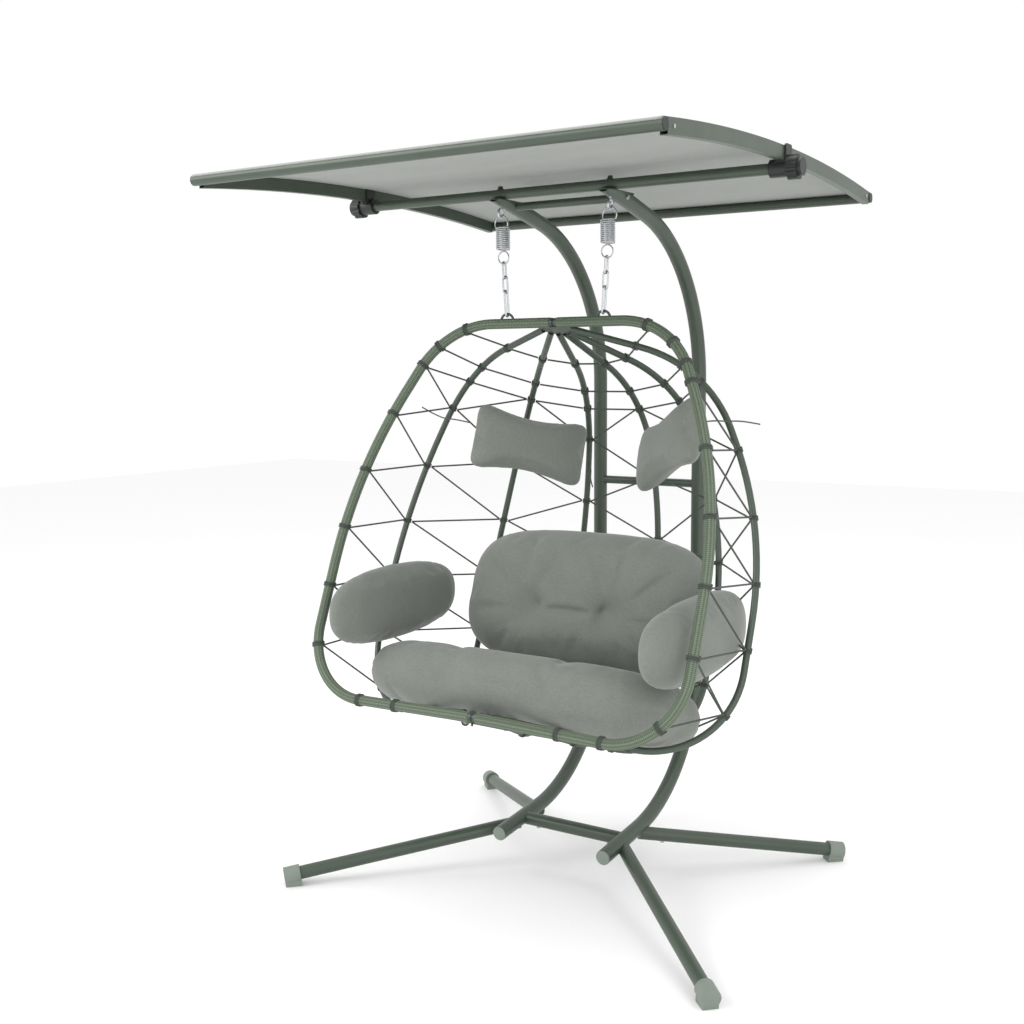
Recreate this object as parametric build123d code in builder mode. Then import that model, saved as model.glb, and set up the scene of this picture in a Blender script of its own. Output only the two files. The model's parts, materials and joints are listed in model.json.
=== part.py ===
"""Two-seat hanging basket swing on a double C stand, with a tilting canopy.

Millimetres, +Z up, +X to the sitter's left-hand side of the stand, -Y to the front.
The origin is on the floor, straight below the canopy beam that also carries the basket.
"""
import os
from math import atan2, cos, degrees, hypot, pi, radians, sin, sqrt, tan

from build123d import *

# ---------------------------------------------------------------- driving dimensions
# Stand
beam_z = 1950.0            # axis of the canopy beam
post_y = 577.0             # axis of the upright part of both C tubes
tube_x = 171.0             # each C tube's plane, either side of the middle
tube_d = 42.0              # C tube
tube_wall = 1.5
lower_radius = 435.0       # bend of the lower curve
lower_tangent_z = 580.0    # height where the lower bend meets the upright
lower_sweep = 85.0         # degrees of bend in the lower curve
lower_end_y = -33.0        # front end of the lower curve
upper_radius = 475.0       # bend of the upper curve
upper_sweep = 77.0
upper_end_y = -33.0        # front end of the upper curve
seam_z = 1064.0            # joint between the lower and upper curves
spigot = 90.0              # how far one tube slides into the next
slide_gap = 0.3            # clearance of a sliding tube joint, per side

# Legs
leg_d = 38.0
leg_wall = 1.4
leg_hub_z = 128.0          # height of the legs' axes where they leave the C tubes
front_hub_y = 77.0
back_hub_y = 186.0
front_foot = (660.0, -413.0)
back_foot = (634.0, 609.0)
foot_axis_z = 27.0
stub_length = 96.0         # welded stub, from the C tube's axis to its seam
cap_d = 50.0
cap_length = 46.0
cap_wall = 3.0
cap_flat = 40.0            # width of the cap's flat foot
cap_drop = 38.0            # cap's axis to the floor, before it is cut level

# Cross tubes
base_cross_y = 99.0
base_cross_z = 136.0
base_stub_x = 100.0        # where the base cross tube meets its welded stubs
mid_cross_z = 1115.0
mid_cross_d = 25.0
top_cross_y = 58.0
top_cross_d = 22.0

# Canopy
beam_d = 28.0
beam_half = 645.0
canopy_reach = 672.0       # beam axis to front and rear tube axes
arm_x = 643.0
arm_width = 18.0
arm_height = 34.0
arm_end_z = 1947.0         # arm's centre line at its ends
arm_clear = 2.0            # arm passes this far above the beam
bar_d = 28.0               # front and rear tubes
fabric_t = 2.0
collar_d = 44.0
collar_x = 612.0           # inner end of the tilt bracket's collar
bracket_depth = 38.0
bracket_wall = 5.0
bore_gap = 0.08            # running clearance of the bracket on the beam
knob_d = 60.0
knob_length = 36.0
knob_bolt_d = 8.0

# Hangers
slack = 0.4                # gap left between two wires that hang on each other
eye_wire = 6.0
eye_radius = 12.0          # eye bolt, to the middle of its wire
eye_drop = 62.1            # beam axis down to the middle of the eye's lowest wire
shank_d = 8.0
spring_wire = 4.0
spring_od = 40.0
spring_body = 65.0
spring_turns = 12
spring_top_loop = 31.0     # coil end to the middle of the loop's top wire
spring_ring = 36.0         # bottom loop's diameter, to the middle of its wire
link_wire = 5.5
link_length = 45.5         # between the middles of its two end wires
link_width = 14.0
clip_wire = 6.0
clip_length = 70.0
clip_width = 15.0
rim_eye_x = 152.0
rim_eye_wire = 7.0
rim_eye_rise = 27.0        # rim axis up to the middle of the eye's wire

# Basket
rim_top_z = 1597.0
rim_tilt = 22.1            # degrees that the opening leans forward at its foot
rim_d = 25.4
rim_wall = 1.2
rim_gap = 8.0              # between the two rim halves
rim_spigot = 30.0          # sleeve inside the rim joints
rim_shoulder = 357.0
rim_half_width = 567.0
rim_hip_drop = 450.0       # where the rim reaches its full width
rim_top_bend = 240.0
rim_hip_bend = 1250.0
rim_foot_bend = 190.0
wrap_start = 12.0          # bare rim either side of its joints
rim_eye_half = 20.0
rim_drop = 1094.0          # from the rim's top to its lower corners, along its own plane
rim_middle_drop = 1084.0   # the same at the middle, where the two halves join
rib_d = 18.0
rib_wall = 1.2
rib_shoulder = 430.0
rib_shoulder_drop = 50.0
rib_hip_drop = 470.0
rib_reach = 650.0          # how far a rib bulges from the basket's axis
rib_drop = 1090.0
rib_foot_drop = 1074.0
rib_top_bend = 350.0
rib_hip_bend = 1000.0
rib_foot_bend = 240.0
rib_angles = (26.5, 54.0, 78.0)
wrap_t = 1.3               # woven skin round the rim
hub_radius = 50.0
hub_t = 8.0
hub_drop = 10.0
cord_d = 5.0
binding_length = 16.0      # cord wound on a tube at each crossing
binding_gap = 0.2
rim_courses = (14.0, 64.0, 121.0)
rib_courses = (29.0, 64.0, 99.0)
even_start = 270.0         # diagonal cords: first crossing below the courses
odd_start = 173.0
zigzag_step = 172.0
foot_rings = (400.0, 250.0)

# Soft parts
soft_gap = 4.0             # room between two cushions, and between a cushion and a tube
seat_radius = 490.0        # round outline of the seat cushion, from the basket's axis
seat_front = 30.0
seat_back = 470.0
seat_top = 905.0
seat_bottom = 1060.0
seat_corner = 70.0
seat_round = 50.0
back_half = 405.0
back_top = 458.0
back_front = 365.0
back_round = 45.0
arm_inner = 440.0
arm_outer = 526.0
arm_nose = 970.0           # how far down the front of an arm cushion hangs
arm_round = 9.0
nest_radius = 606.0        # the cushions stay inside this reach
nest_half = 546.0          # and inside this half width at the rim
pillow_length = 362.0
pillow_height = 212.0
pillow_waist = 160.0
pillow_t = 80.0
pillow_left = (-195.0, 257.0, 300.0)   # across, down, behind
pillow_right = (290.0, 262.0, 238.0)
pillow_turns = {"left": (42.0, 2.0), "right": (42.0, 6.0)}   # turn to face inwards, then lean
tie_d = 4.0

os.makedirs("parts", exist_ok=True)

SIDES = (("left", -1), ("right", 1))


def save(builder, name):
    """Label a finished piece and write its STEP file."""
    builder.part.label = name
    export_step(builder.part, f"parts/{name}.step")


def swept(wire, outer_r, inner_r=0.0):
    """A round bar or tube that follows a wire."""
    start = Plane(origin=wire @ 0, z_dir=wire % 0)
    with BuildPart() as bar:
        with BuildSketch(start):
            Circle(outer_r)
            if inner_r:
                Circle(inner_r, mode=Mode.SUBTRACT)
        sweep(path=wire)
    return bar.part


def rod(start, end, outer_r, inner_r=0.0):
    """A straight round bar or tube between two points."""
    axis = Vector(*end) - Vector(*start)
    with BuildPart() as bar:
        with BuildSketch(Plane(origin=start, z_dir=axis)):
            Circle(outer_r)
            if inner_r:
                Circle(inner_r, mode=Mode.SUBTRACT)
        extrude(amount=axis.length)
    return bar.part


def between(start, end, distance):
    """The point at a distance from start towards end."""
    first = Vector(*start)
    return tuple(first + (Vector(*end) - first).normalized() * distance)


# ---------------------------------------------------------------- stand geometry
tube_r = tube_d / 2
leg_r = leg_d / 2
lower_centre_y = post_y - lower_radius
upper_centre_y = post_y - upper_radius
rise = radians(90.0 - upper_sweep)
upper_bend_end_y = upper_centre_y + upper_radius * cos(radians(upper_sweep))
# The upper bend starts where its end still meets the beam at half the tube's height.
tip_axis_z = beam_z - beam_d / 2 + 4.0
upper_tangent_z = tip_axis_z - upper_bend_end_y * tan(rise) - upper_radius * sin(radians(upper_sweep))
saddle_z = beam_z - beam_d / 2           # flat on which the beam rests
saddle_t = 3.0


def lower_path(x, top_z):
    """Centre line of a lower curve, from its top joint to its front end."""
    bend = radians(lower_sweep)
    end_y = lower_centre_y + lower_radius * cos(bend)
    end_z = lower_tangent_z - lower_radius * sin(bend)
    front_z = end_z - (end_y - lower_end_y) / tan(bend)
    with BuildLine() as path:
        Line((x, post_y, top_z), (x, post_y, lower_tangent_z))
        ThreePointArc(
            (x, post_y, lower_tangent_z),
            (x, lower_centre_y + lower_radius * cos(bend / 2), lower_tangent_z - lower_radius * sin(bend / 2)),
            (x, end_y, end_z),
        )
        Line((x, end_y, end_z), (x, lower_end_y, front_z))
    return path.wire()


def upper_path(x, bottom_z, end_y):
    """Centre line of an upper curve, from its bottom joint to its front end."""
    bend = radians(upper_sweep)
    bend_y = upper_centre_y + upper_radius * cos(bend)
    bend_z = upper_tangent_z + upper_radius * sin(bend)
    tip_z = bend_z + (bend_y - end_y) / tan(bend)
    with BuildLine() as path:
        Line((x, post_y, bottom_z), (x, post_y, upper_tangent_z))
        ThreePointArc(
            (x, post_y, upper_tangent_z),
            (x, upper_centre_y + upper_radius * cos(bend / 2), upper_tangent_z + upper_radius * sin(bend / 2)),
            (x, bend_y, bend_z),
        )
        Line((x, bend_y, bend_z), (x, end_y, tip_z))
    return path.wire()


def lower_axis_z(y):
    """Height of the lower curve's centre line at a distance forward of the upright."""
    bend_end = lower_centre_y + lower_radius * cos(radians(lower_sweep))
    if y < bend_end:
        at_end = lower_tangent_z - lower_radius * sin(radians(lower_sweep))
        return at_end - (bend_end - y) / tan(radians(lower_sweep))
    return lower_tangent_z - sqrt(lower_radius ** 2 - (y - lower_centre_y) ** 2)


def upper_axis_z(y):
    """Height of the upper curve's centre line over its straight front part."""
    return tip_axis_z - y * tan(rise)


def leg_ends(sign, hub_y, foot):
    """Both ends of a leg's axis: on the C tube's axis and at its foot."""
    return (sign * tube_x, hub_y, leg_hub_z), (sign * foot[0], foot[1], foot_axis_z)


def inward(sign, x):
    """A point on the base cross tube's axis."""
    return (sign * x, base_cross_y, base_cross_z)


# ---------------------------------------------------------------- stand
legs = (("front", front_hub_y, front_foot), ("back", back_hub_y, back_foot))

for side, sign in SIDES:
    outside = swept(lower_path(sign * tube_x, seam_z), tube_r)
    inside = swept(lower_path(sign * tube_x, seam_z), tube_r - tube_wall)
    with BuildPart() as lower_curve:
        add(outside)
        for _, hub_y, foot in legs:
            hub, foot_end = leg_ends(sign, hub_y, foot)
            add(rod(hub, between(hub, foot_end, stub_length), leg_r))
        add(rod(inward(sign, tube_x), inward(sign, base_stub_x), leg_r))
        add(inside, mode=Mode.SUBTRACT)
        for _, hub_y, foot in legs:
            hub, foot_end = leg_ends(sign, hub_y, foot)
            bore_start = between(hub, foot_end, 40.0)
            add(rod(bore_start, between(hub, foot_end, stub_length), leg_r - leg_wall), mode=Mode.SUBTRACT)
        add(rod(inward(sign, tube_x - tube_r - 4.0), inward(sign, base_stub_x), leg_r - leg_wall),
            mode=Mode.SUBTRACT)
    save(lower_curve, f"{side}_lower_curve")

    top_solid = swept(upper_path(sign * tube_x, seam_z, upper_end_y), tube_r, tube_r - tube_wall)
    with BuildPart() as upper_curve:
        add(top_solid)
        add(rod((sign * tube_x, post_y, seam_z - spigot), (sign * tube_x, post_y, seam_z),
                tube_r - tube_wall - slide_gap, tube_r - 2 * tube_wall - slide_gap))
        with BuildSketch(Plane.XY.offset(seam_z)):
            with Locations((sign * tube_x, post_y)):
                Circle(tube_r - tube_wall)
                Circle(tube_r - 2 * tube_wall - slide_gap, mode=Mode.SUBTRACT)
        extrude(amount=tube_wall)
        with BuildSketch(Plane.XY.offset(saddle_z - saddle_t)):
            with Locations((sign * tube_x, 0)):
                Rectangle(tube_d + 10, 400)
        extrude(amount=60, mode=Mode.SUBTRACT)
        with BuildSketch(Plane.XY.offset(saddle_z)):
            with Locations((sign * tube_x, 0)):
                Circle(shank_d / 2 + slide_gap)
        extrude(amount=-60, mode=Mode.SUBTRACT)
    save(upper_curve, f"{side}_upper_curve")

    for place, hub_y, foot in legs:
        hub, foot_end = leg_ends(sign, hub_y, foot)
        seam = between(hub, foot_end, stub_length)
        with BuildPart() as leg:
            add(rod(seam, foot_end, leg_r, leg_r - leg_wall))
            sleeve_r = leg_r - leg_wall - slide_gap
            add(rod(between(hub, foot_end, 46.0), between(hub, foot_end, stub_length + 20.0), sleeve_r,
                    sleeve_r - leg_wall))
            add(rod(between(hub, foot_end, stub_length + 2.0), between(hub, foot_end, stub_length + 8.0),
                    leg_r - leg_wall, sleeve_r - leg_wall))
        save(leg, f"{place}_{side}_leg")

with BuildPart() as foot_caps:
    for side, sign in SIDES:
        for _, hub_y, foot in legs:
            hub, foot_end = leg_ends(sign, hub_y, foot)
            toe = between(foot_end, hub, -cap_wall)
            axis = (Vector(*hub) - Vector(*toe)).normalized()
            across = Vector(0, 0, 1).cross(axis).normalized()
            face = Plane(origin=toe, x_dir=tuple(across), z_dir=tuple(axis))
            with BuildSketch(face):
                Circle(cap_d / 2)
                with Locations((0, -cap_drop / 2)):
                    Rectangle(cap_flat, cap_drop)
            extrude(amount=cap_length)
            with BuildSketch(face.offset(cap_wall)):
                Circle(leg_r)
            extrude(amount=cap_length, mode=Mode.SUBTRACT)
    split(bisect_by=Plane.XY, keep=Keep.TOP)
save(foot_caps, "foot_caps")

with BuildPart() as end_plugs:
    for side, sign in SIDES:
        path = lower_path(sign * tube_x, seam_z)
        front = Plane(origin=path @ 1, z_dir=path % 1)
        with BuildSketch(front):
            Circle(tube_r - 0.6)
        extrude(amount=3.0)
        with BuildSketch(front):
            Circle(tube_r - tube_wall)
            Circle(tube_r - tube_wall - 2.0, mode=Mode.SUBTRACT)
        extrude(amount=-16.0)
save(end_plugs, "lower_end_plugs")

with BuildPart() as base_cross:
    add(rod(inward(-1, base_stub_x), inward(1, base_stub_x), leg_r, leg_r - leg_wall))
    for side, sign in SIDES:
        sleeve_r = leg_r - leg_wall - slide_gap
        add(rod(inward(sign, base_stub_x - 20.0), inward(sign, base_stub_x + 38.0), sleeve_r,
                sleeve_r - leg_wall))
        add(rod(inward(sign, base_stub_x - 8.0), inward(sign, base_stub_x - 2.0), leg_r - leg_wall,
                sleeve_r - leg_wall))
save(base_cross, "base_cross_tube")


def cross_tube(y, z, diameter, cutters):
    """A tube between the two C tubes, with its ends cut to fit round them."""
    with BuildPart() as tube:
        add(rod((-tube_x, y, z), (tube_x, y, z), diameter / 2, diameter / 2 - tube_wall))
        for cutter in cutters:
            add(cutter, mode=Mode.SUBTRACT)
    return tube


posts = [rod((sign * tube_x, post_y, seam_z), (sign * tube_x, post_y, mid_cross_z + 100), tube_r)
         for _, sign in SIDES]
save(cross_tube(post_y, mid_cross_z, mid_cross_d, posts), "mid_cross_tube")
tips = [rod((sign * tube_x, -20.0, upper_axis_z(-20.0)), (sign * tube_x, 160.0, upper_axis_z(160.0)), tube_r)
        for _, sign in SIDES]
top_cross_z = saddle_z - saddle_t - top_cross_d / 2 - slide_gap
save(cross_tube(top_cross_y, top_cross_z, top_cross_d, tips), "top_cross_tube")

# Plates that close the cut tops of the upper curves and carry the beam.
plate_back_y = (tip_axis_z + tube_r / cos(rise) - saddle_z) / tan(rise)
with BuildPart() as saddles:
    for side, sign in SIDES:
        with BuildSketch(Plane.XY.offset(saddle_z - saddle_t)):
            with Locations((sign * tube_x, (plate_back_y + upper_end_y) / 2)):
                SlotOverall(plate_back_y - upper_end_y + 4.0, tube_d, rotation=90)
        extrude(amount=saddle_t)
        with BuildSketch(Plane.XY.offset(saddle_z)):
            with Locations((sign * tube_x, 0)):
                Circle(shank_d / 2 + slide_gap)
        extrude(amount=-saddle_t, mode=Mode.SUBTRACT)
save(saddles, "beam_saddles")

with BuildPart() as beam:
    add(rod((-beam_half, 0, beam_z), (beam_half, 0, beam_z), beam_d / 2, beam_d / 2 - tube_wall))
    for side, sign in SIDES:
        with BuildSketch(Plane.XY.offset(beam_z - beam_d)):
            with Locations((sign * tube_x, 0)):
                Circle(shank_d / 2 + slide_gap)
        extrude(amount=2 * beam_d, mode=Mode.SUBTRACT)
save(beam, "canopy_beam")

with BuildPart() as beam_plugs:
    for side, sign in SIDES:
        add(rod((sign * (beam_half - 24.0), 0, beam_z), (sign * beam_half, 0, beam_z),
                beam_d / 2 - tube_wall, knob_bolt_d / 2 + bore_gap))
save(beam_plugs, "beam_end_nuts")

# Eye bolts run up through the tube, its saddle and the beam, with a nut on top.
eye_low_z = beam_z - eye_drop
nut_z = beam_z + beam_d / 2
with BuildPart() as eye_bolts:
    for side, sign in SIDES:
        centre_z = eye_low_z + eye_radius
        with BuildSketch(Plane.YZ.offset(sign * tube_x)):
            with Locations((0, centre_z)):
                Circle(eye_radius + eye_wire / 2)
                Circle(eye_radius - eye_wire / 2, mode=Mode.SUBTRACT)
        extrude(amount=eye_wire / 2, both=True)
    ring_edges = eye_bolts.edges().filter_by(GeomType.CIRCLE)
    fillet(ring_edges, radius=eye_wire / 2 - 0.2)
    for side, sign in SIDES:
        with BuildSketch(Plane.XY.offset(eye_low_z + 2 * eye_radius)):
            with Locations((sign * tube_x, 0)):
                Circle(shank_d / 2)
        extrude(amount=nut_z + 11.0 - eye_low_z - 2 * eye_radius)
save(eye_bolts, "eye_bolts")

with BuildPart() as eye_nuts:
    for side, sign in SIDES:
        with BuildSketch(Plane.XY.offset(nut_z)):
            with Locations((sign * tube_x, 0)):
                Circle(9.0)
                Circle(shank_d / 2 + 0.1, mode=Mode.SUBTRACT)
        extrude(amount=1.6)
        with BuildSketch(Plane.XY.offset(nut_z + 1.6)):
            with Locations((sign * tube_x, 0)):
                RegularPolygon(7.5, 6)
                Circle(shank_d / 2 + 0.1, mode=Mode.SUBTRACT)
        extrude(amount=6.5)
save(eye_nuts, "eye_bolt_nuts")

with BuildPart() as frame_bolts:
    for side, sign in SIDES:
        for _, hub_y, foot in legs:
            hub, foot_end = leg_ends(sign, hub_y, foot)
            along = (Vector(*foot_end) - Vector(*hub)).normalized()
            down = along.cross(Vector(0, 0, 1)).cross(along).normalized()
            if down.Z > 0:
                down = down * -1
            root = Vector(*between(hub, foot_end, 74.0)) + down * leg_r
            with BuildSketch(Plane(origin=tuple(root), z_dir=tuple(down))):
                Circle(6.0)
            extrude(amount=4.0)
        under = Plane(origin=(sign * (base_stub_x + 18.0), base_cross_y, base_cross_z - leg_r), z_dir=(0, 0, -1))
        with BuildSketch(under):
            Circle(6.0)
        extrude(amount=4.0)
        for height in (mid_cross_z, seam_z - 45.0):
            rear = Plane(origin=(sign * tube_x, post_y + tube_r, height), z_dir=(0, 1, 0))
            with BuildSketch(rear):
                Circle(6.0)
            extrude(amount=4.0)
        outer = Plane(origin=(sign * (tube_x + tube_r), top_cross_y, top_cross_z), z_dir=(sign, 0, 0))
        with BuildSketch(outer):
            Circle(6.0)
        extrude(amount=4.0)
save(frame_bolts, "frame_bolts")

# ---------------------------------------------------------------- canopy
arm_mid_z = beam_z + beam_d / 2 + arm_clear + arm_height / 2
arm_sag = arm_mid_z - arm_end_z
arm_radius = (canopy_reach ** 2 + arm_sag ** 2) / (2 * arm_sag)
bar_r = bar_d / 2
bar_z = arm_end_z + arm_height / 2 - bar_r
arm_end_y = canopy_reach - bar_r - 0.5


def arch_z(y, lift):
    """Height of the arms' arc at y, moved outwards by lift."""
    return arm_mid_z - arm_radius + sqrt((arm_radius + lift) ** 2 - y ** 2)


def arch_band(reach, low, high):
    """A band between two lifts of the arms' arc, in the YZ sketch."""
    with BuildLine() as band:
        ThreePointArc((-reach, arch_z(reach, low)), (0, arch_z(0, low)), (reach, arch_z(reach, low)))
        Line((reach, arch_z(reach, low)), (reach, arch_z(reach, high)))
        ThreePointArc((reach, arch_z(reach, high)), (0, arch_z(0, high)), (-reach, arch_z(reach, high)))
        Line((-reach, arch_z(reach, high)), (-reach, arch_z(reach, low)))
    return band.line


for side, sign in SIDES:
    with BuildPart() as arm:
        with BuildSketch(Plane.YZ.offset(sign * arm_x)):
            add(arch_band(arm_end_y, -arm_height / 2, arm_height / 2))
            make_face()
        extrude(amount=arm_width / 2, both=True)
        with BuildSketch(Plane.YZ.offset(sign * arm_x)):
            add(arch_band(arm_end_y + 1.0, tube_wall - arm_height / 2, arm_height / 2 - tube_wall))
            make_face()
        extrude(amount=arm_width / 2 - tube_wall, both=True, mode=Mode.SUBTRACT)
    save(arm, f"{side}_canopy_arm")

bar_half = arm_x + arm_width / 2
for place, y in (("front", -canopy_reach), ("rear", canopy_reach)):
    with BuildPart() as bar:
        add(rod((-bar_half, y, bar_z), (bar_half, y, bar_z), bar_r, bar_r - tube_wall))
    save(bar, f"canopy_{place}_tube")

with BuildPart() as bar_caps:
    for side, sign in SIDES:
        for y in (-canopy_reach, canopy_reach):
            add(rod((sign * bar_half, y, bar_z), (sign * (bar_half + 2.5), y, bar_z), bar_r - 0.4))
            add(rod((sign * (bar_half - 12.0), y, bar_z), (sign * bar_half, y, bar_z), bar_r - tube_wall,
                    bar_r - tube_wall - 2.0))
save(bar_caps, "canopy_end_caps")

with BuildPart() as arm_screws:
    for side, sign in SIDES:
        for way in (-1, 1):
            screw_y = way * (arm_end_y - 26.0)
            head_z = arch_z(screw_y, 0)
            add(rod((sign * bar_half, screw_y, head_z), (sign * (bar_half + 2.6), screw_y, head_z), 4.5))
save(arm_screws, "canopy_screws")

fabric_lift = arm_height / 2 + slide_gap
with BuildPart() as fabric:
    with BuildSketch(Plane.YZ):
        add(arch_band(canopy_reach, fabric_lift, fabric_lift + fabric_t))
        make_face()
        for y in (-canopy_reach, canopy_reach):
            with Locations((y, bar_z)):
                Circle(bar_r + slide_gap + fabric_t)
                Circle(bar_r + slide_gap, mode=Mode.SUBTRACT)
    extrude(amount=arm_x - arm_width / 2 - 1.0, both=True)
    with BuildSketch(Plane.YZ):
        add(arch_band(canopy_reach - bar_r - 8.0, fabric_lift, fabric_lift + fabric_t))
        make_face()
    extrude(amount=bar_half - 1.0, both=True)
save(fabric, "canopy_fabric")

bracket_out_x = arm_x + arm_width / 2 + bracket_wall
bracket_in_x = arm_x - arm_width / 2 - bracket_wall
bracket_top_z = arm_mid_z + fabric_lift + fabric_t + 3.0
for side, sign in SIDES:
    middle_x = sign * (bracket_in_x + bracket_out_x) / 2
    ear_x = sign * (bar_half + bracket_wall / 2 + bore_gap)
    with BuildPart() as bracket:
        with BuildSketch(Plane.XY.offset(beam_z)):
            with Locations((middle_x, 0)):
                Rectangle(bracket_out_x - bracket_in_x, bracket_depth)
        extrude(amount=arm_mid_z + arm_height / 2 - beam_z)
        with BuildSketch(Plane.XY.offset(beam_z)):
            with Locations((ear_x, 0)):
                Rectangle(bracket_wall, bracket_depth)
        extrude(amount=bracket_top_z - beam_z)
        fillet(bracket.edges().filter_by(Axis.X).group_by(Axis.Z)[-1], radius=6.0)
        add(rod((sign * collar_x, 0, beam_z), (sign * bracket_out_x, 0, beam_z), collar_d / 2))
        add(rod((sign * (collar_x - 1), 0, beam_z), (sign * (beam_half + 0.5), 0, beam_z),
                beam_d / 2 + bore_gap), mode=Mode.SUBTRACT)
        add(rod((sign * collar_x, 0, beam_z), (sign * (bracket_out_x + 1), 0, beam_z),
                knob_bolt_d / 2 + slide_gap), mode=Mode.SUBTRACT)
        with BuildSketch(Plane.XZ.offset(-bracket_depth)):
            with Locations((sign * arm_x, arm_mid_z + 5.0)):
                Rectangle(arm_width + 2 * bore_gap, arm_height + 10.0 + 2 * bore_gap)
        extrude(amount=2 * bracket_depth, mode=Mode.SUBTRACT)
    save(bracket, f"{side}_tilt_bracket")

    knob_in_x = bracket_out_x + 0.4
    with BuildPart() as knob:
        with BuildSketch(Plane.YZ.offset(sign * knob_in_x)):
            with Locations((0, beam_z)):
                Circle(knob_d / 2)
            with Locations((0, beam_z)):
                with PolarLocations(knob_d / 2 + 3.5, 9):
                    Circle(7.0, mode=Mode.SUBTRACT)
        extrude(amount=sign * knob_length * 0.72)
        add(rod((sign * (knob_in_x + knob_length * 0.72), 0, beam_z), (sign * (knob_in_x + knob_length), 0, beam_z),
                knob_d / 2 - 8.0))
        add(rod((sign * (beam_half - 20.0), 0, beam_z), (sign * knob_in_x, 0, beam_z), knob_bolt_d / 2))
    save(knob, f"{side}_tilt_knob")

# ---------------------------------------------------------------- hangers
loop_top_z = eye_low_z + eye_wire / 2 + spring_wire / 2 + slack
rim_eye_z = rim_top_z + rim_eye_rise


def hang_planes(sign):
    """Two planes through a hanger's line: one facing the front and one from the side."""
    top = Vector(sign * tube_x, 0, loop_top_z)
    foot = Vector(sign * rim_eye_x, 0, rim_eye_z)
    up = (top - foot).normalized()
    across = (up.Z, 0, -up.X)
    facing = Plane(origin=tuple(top), x_dir=across, z_dir=(0, -1, 0))
    sideways = Plane(origin=tuple(top), x_dir=(0, 1, 0), z_dir=across)
    return facing, sideways, (top - foot).length


def oval(plane, top, length, width):
    """A closed oval wire in a plane, hanging down from a height."""
    r = width / 2
    with BuildLine(plane) as path:
        Line((-r, top - r), (-r, top - length + r))
        ThreePointArc((-r, top - length + r), (0, top - length), (r, top - length + r))
        Line((r, top - length + r), (r, top - r))
        ThreePointArc((r, top - r), (0, top), (-r, top - r))
    return path.wire()


def oval_ring(plane, top, length, width, wire_d):
    """A link: a round wire bent to a closed oval."""
    path = oval(plane, top, length, width)
    with BuildPart() as ring:
        with BuildSketch(Plane(origin=path @ 0, z_dir=path % 0)):
            Circle(wire_d / 2)
        sweep(path=path)
    return ring.part


hang_length = hang_planes(1)[2]
spring_r = (spring_od - spring_wire) / 2
coil_top = -spring_top_loop
coil_bottom = coil_top - spring_body
ring_bottom = coil_bottom - spring_ring
link_one_top = ring_bottom + spring_wire / 2 + link_wire / 2 + slack
link_two_top = link_one_top - link_length + link_wire + slack
clip_top = link_two_top - link_length + link_wire / 2 + clip_wire / 2 + slack
clip_bottom = -(hang_length + rim_eye_wire / 2 + clip_wire / 2 + slack)
clip_span = clip_top - clip_bottom

with BuildPart() as top_loops:
    for side, sign in SIDES:
        facing, sideways, _ = hang_planes(sign)
        with BuildLine(facing) as path:
            ThreePointArc((-spring_r, coil_top), (0, 0), (spring_r, coil_top))
        add(swept(path.wire(), spring_wire / 2))
save(top_loops, "spring_top_loops")

ring_r = (spring_ring - spring_wire / 2) / 2
with BuildPart() as bottom_loops:
    for side, sign in SIDES:
        facing, sideways, _ = hang_planes(sign)
        with BuildLine(facing) as path:
            CenterArc((0, ring_bottom + ring_r), ring_r, 0, 360)
        add(swept(path.wire(), spring_wire / 2))
save(bottom_loops, "spring_bottom_loops")

for side, sign in SIDES:
    facing, sideways, _ = hang_planes(sign)
    up = facing.y_dir
    foot = facing.from_local_coords((0, coil_bottom + spring_wire / 2, 0))
    pitch = (spring_body - spring_wire) / spring_turns
    with BuildPart() as coil:
        with BuildLine(Plane(origin=foot, x_dir=tuple(facing.x_dir), z_dir=tuple(up))) as path:
            Helix(pitch=pitch, height=pitch * spring_turns, radius=spring_r)
        turn = path.wire()
        with BuildSketch(Plane(origin=turn @ 0, z_dir=turn % 0)):
            Circle(spring_wire / 2)
        sweep(path=turn, is_frenet=True)
    save(coil, f"{side}_spring_coil")

    with BuildPart() as links:
        add(oval_ring(sideways, link_one_top, link_length, link_width, link_wire))
        add(oval_ring(facing, link_two_top, link_length, link_width, link_wire))
    save(links, f"{side}_chain_links")

    with BuildPart() as clip:
        add(oval_ring(sideways, clip_top, clip_span, clip_width, clip_wire))
    save(clip, f"{side}_clip")


# ---------------------------------------------------------------- basket frame
tilt = radians(rim_tilt)
down = Vector(0, -sin(tilt), -cos(tilt))
behind = Vector(0, cos(tilt), -sin(tilt))
basket_top = Vector(0, 0, rim_top_z)
rim_plane = Plane(origin=tuple(basket_top), x_dir=(1, 0, 0), z_dir=tuple(behind))
rim_r = rim_d / 2
rib_r = rib_d / 2
rim_skin_r = rim_r + wrap_t


def at(x, depth, back):
    """A point in the basket: across, down along the opening, and behind the opening."""
    return basket_top + Vector(1, 0, 0) * x + down * depth + behind * back


def rim_path(sign):
    """Centre line of one half of the rim, from its top joint to its bottom joint."""
    with BuildLine(rim_plane) as path:
        FilletPolyline(
            (sign * rim_gap / 2, 0),
            (sign * rim_shoulder, 0),
            (sign * rim_half_width, rim_hip_drop),
            (sign * rim_half_width, rim_drop),
            (sign * rim_gap / 2, rim_middle_drop),
            radius=[rim_top_bend, rim_hip_bend, rim_foot_bend],
        )
    return path.wire()


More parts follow.
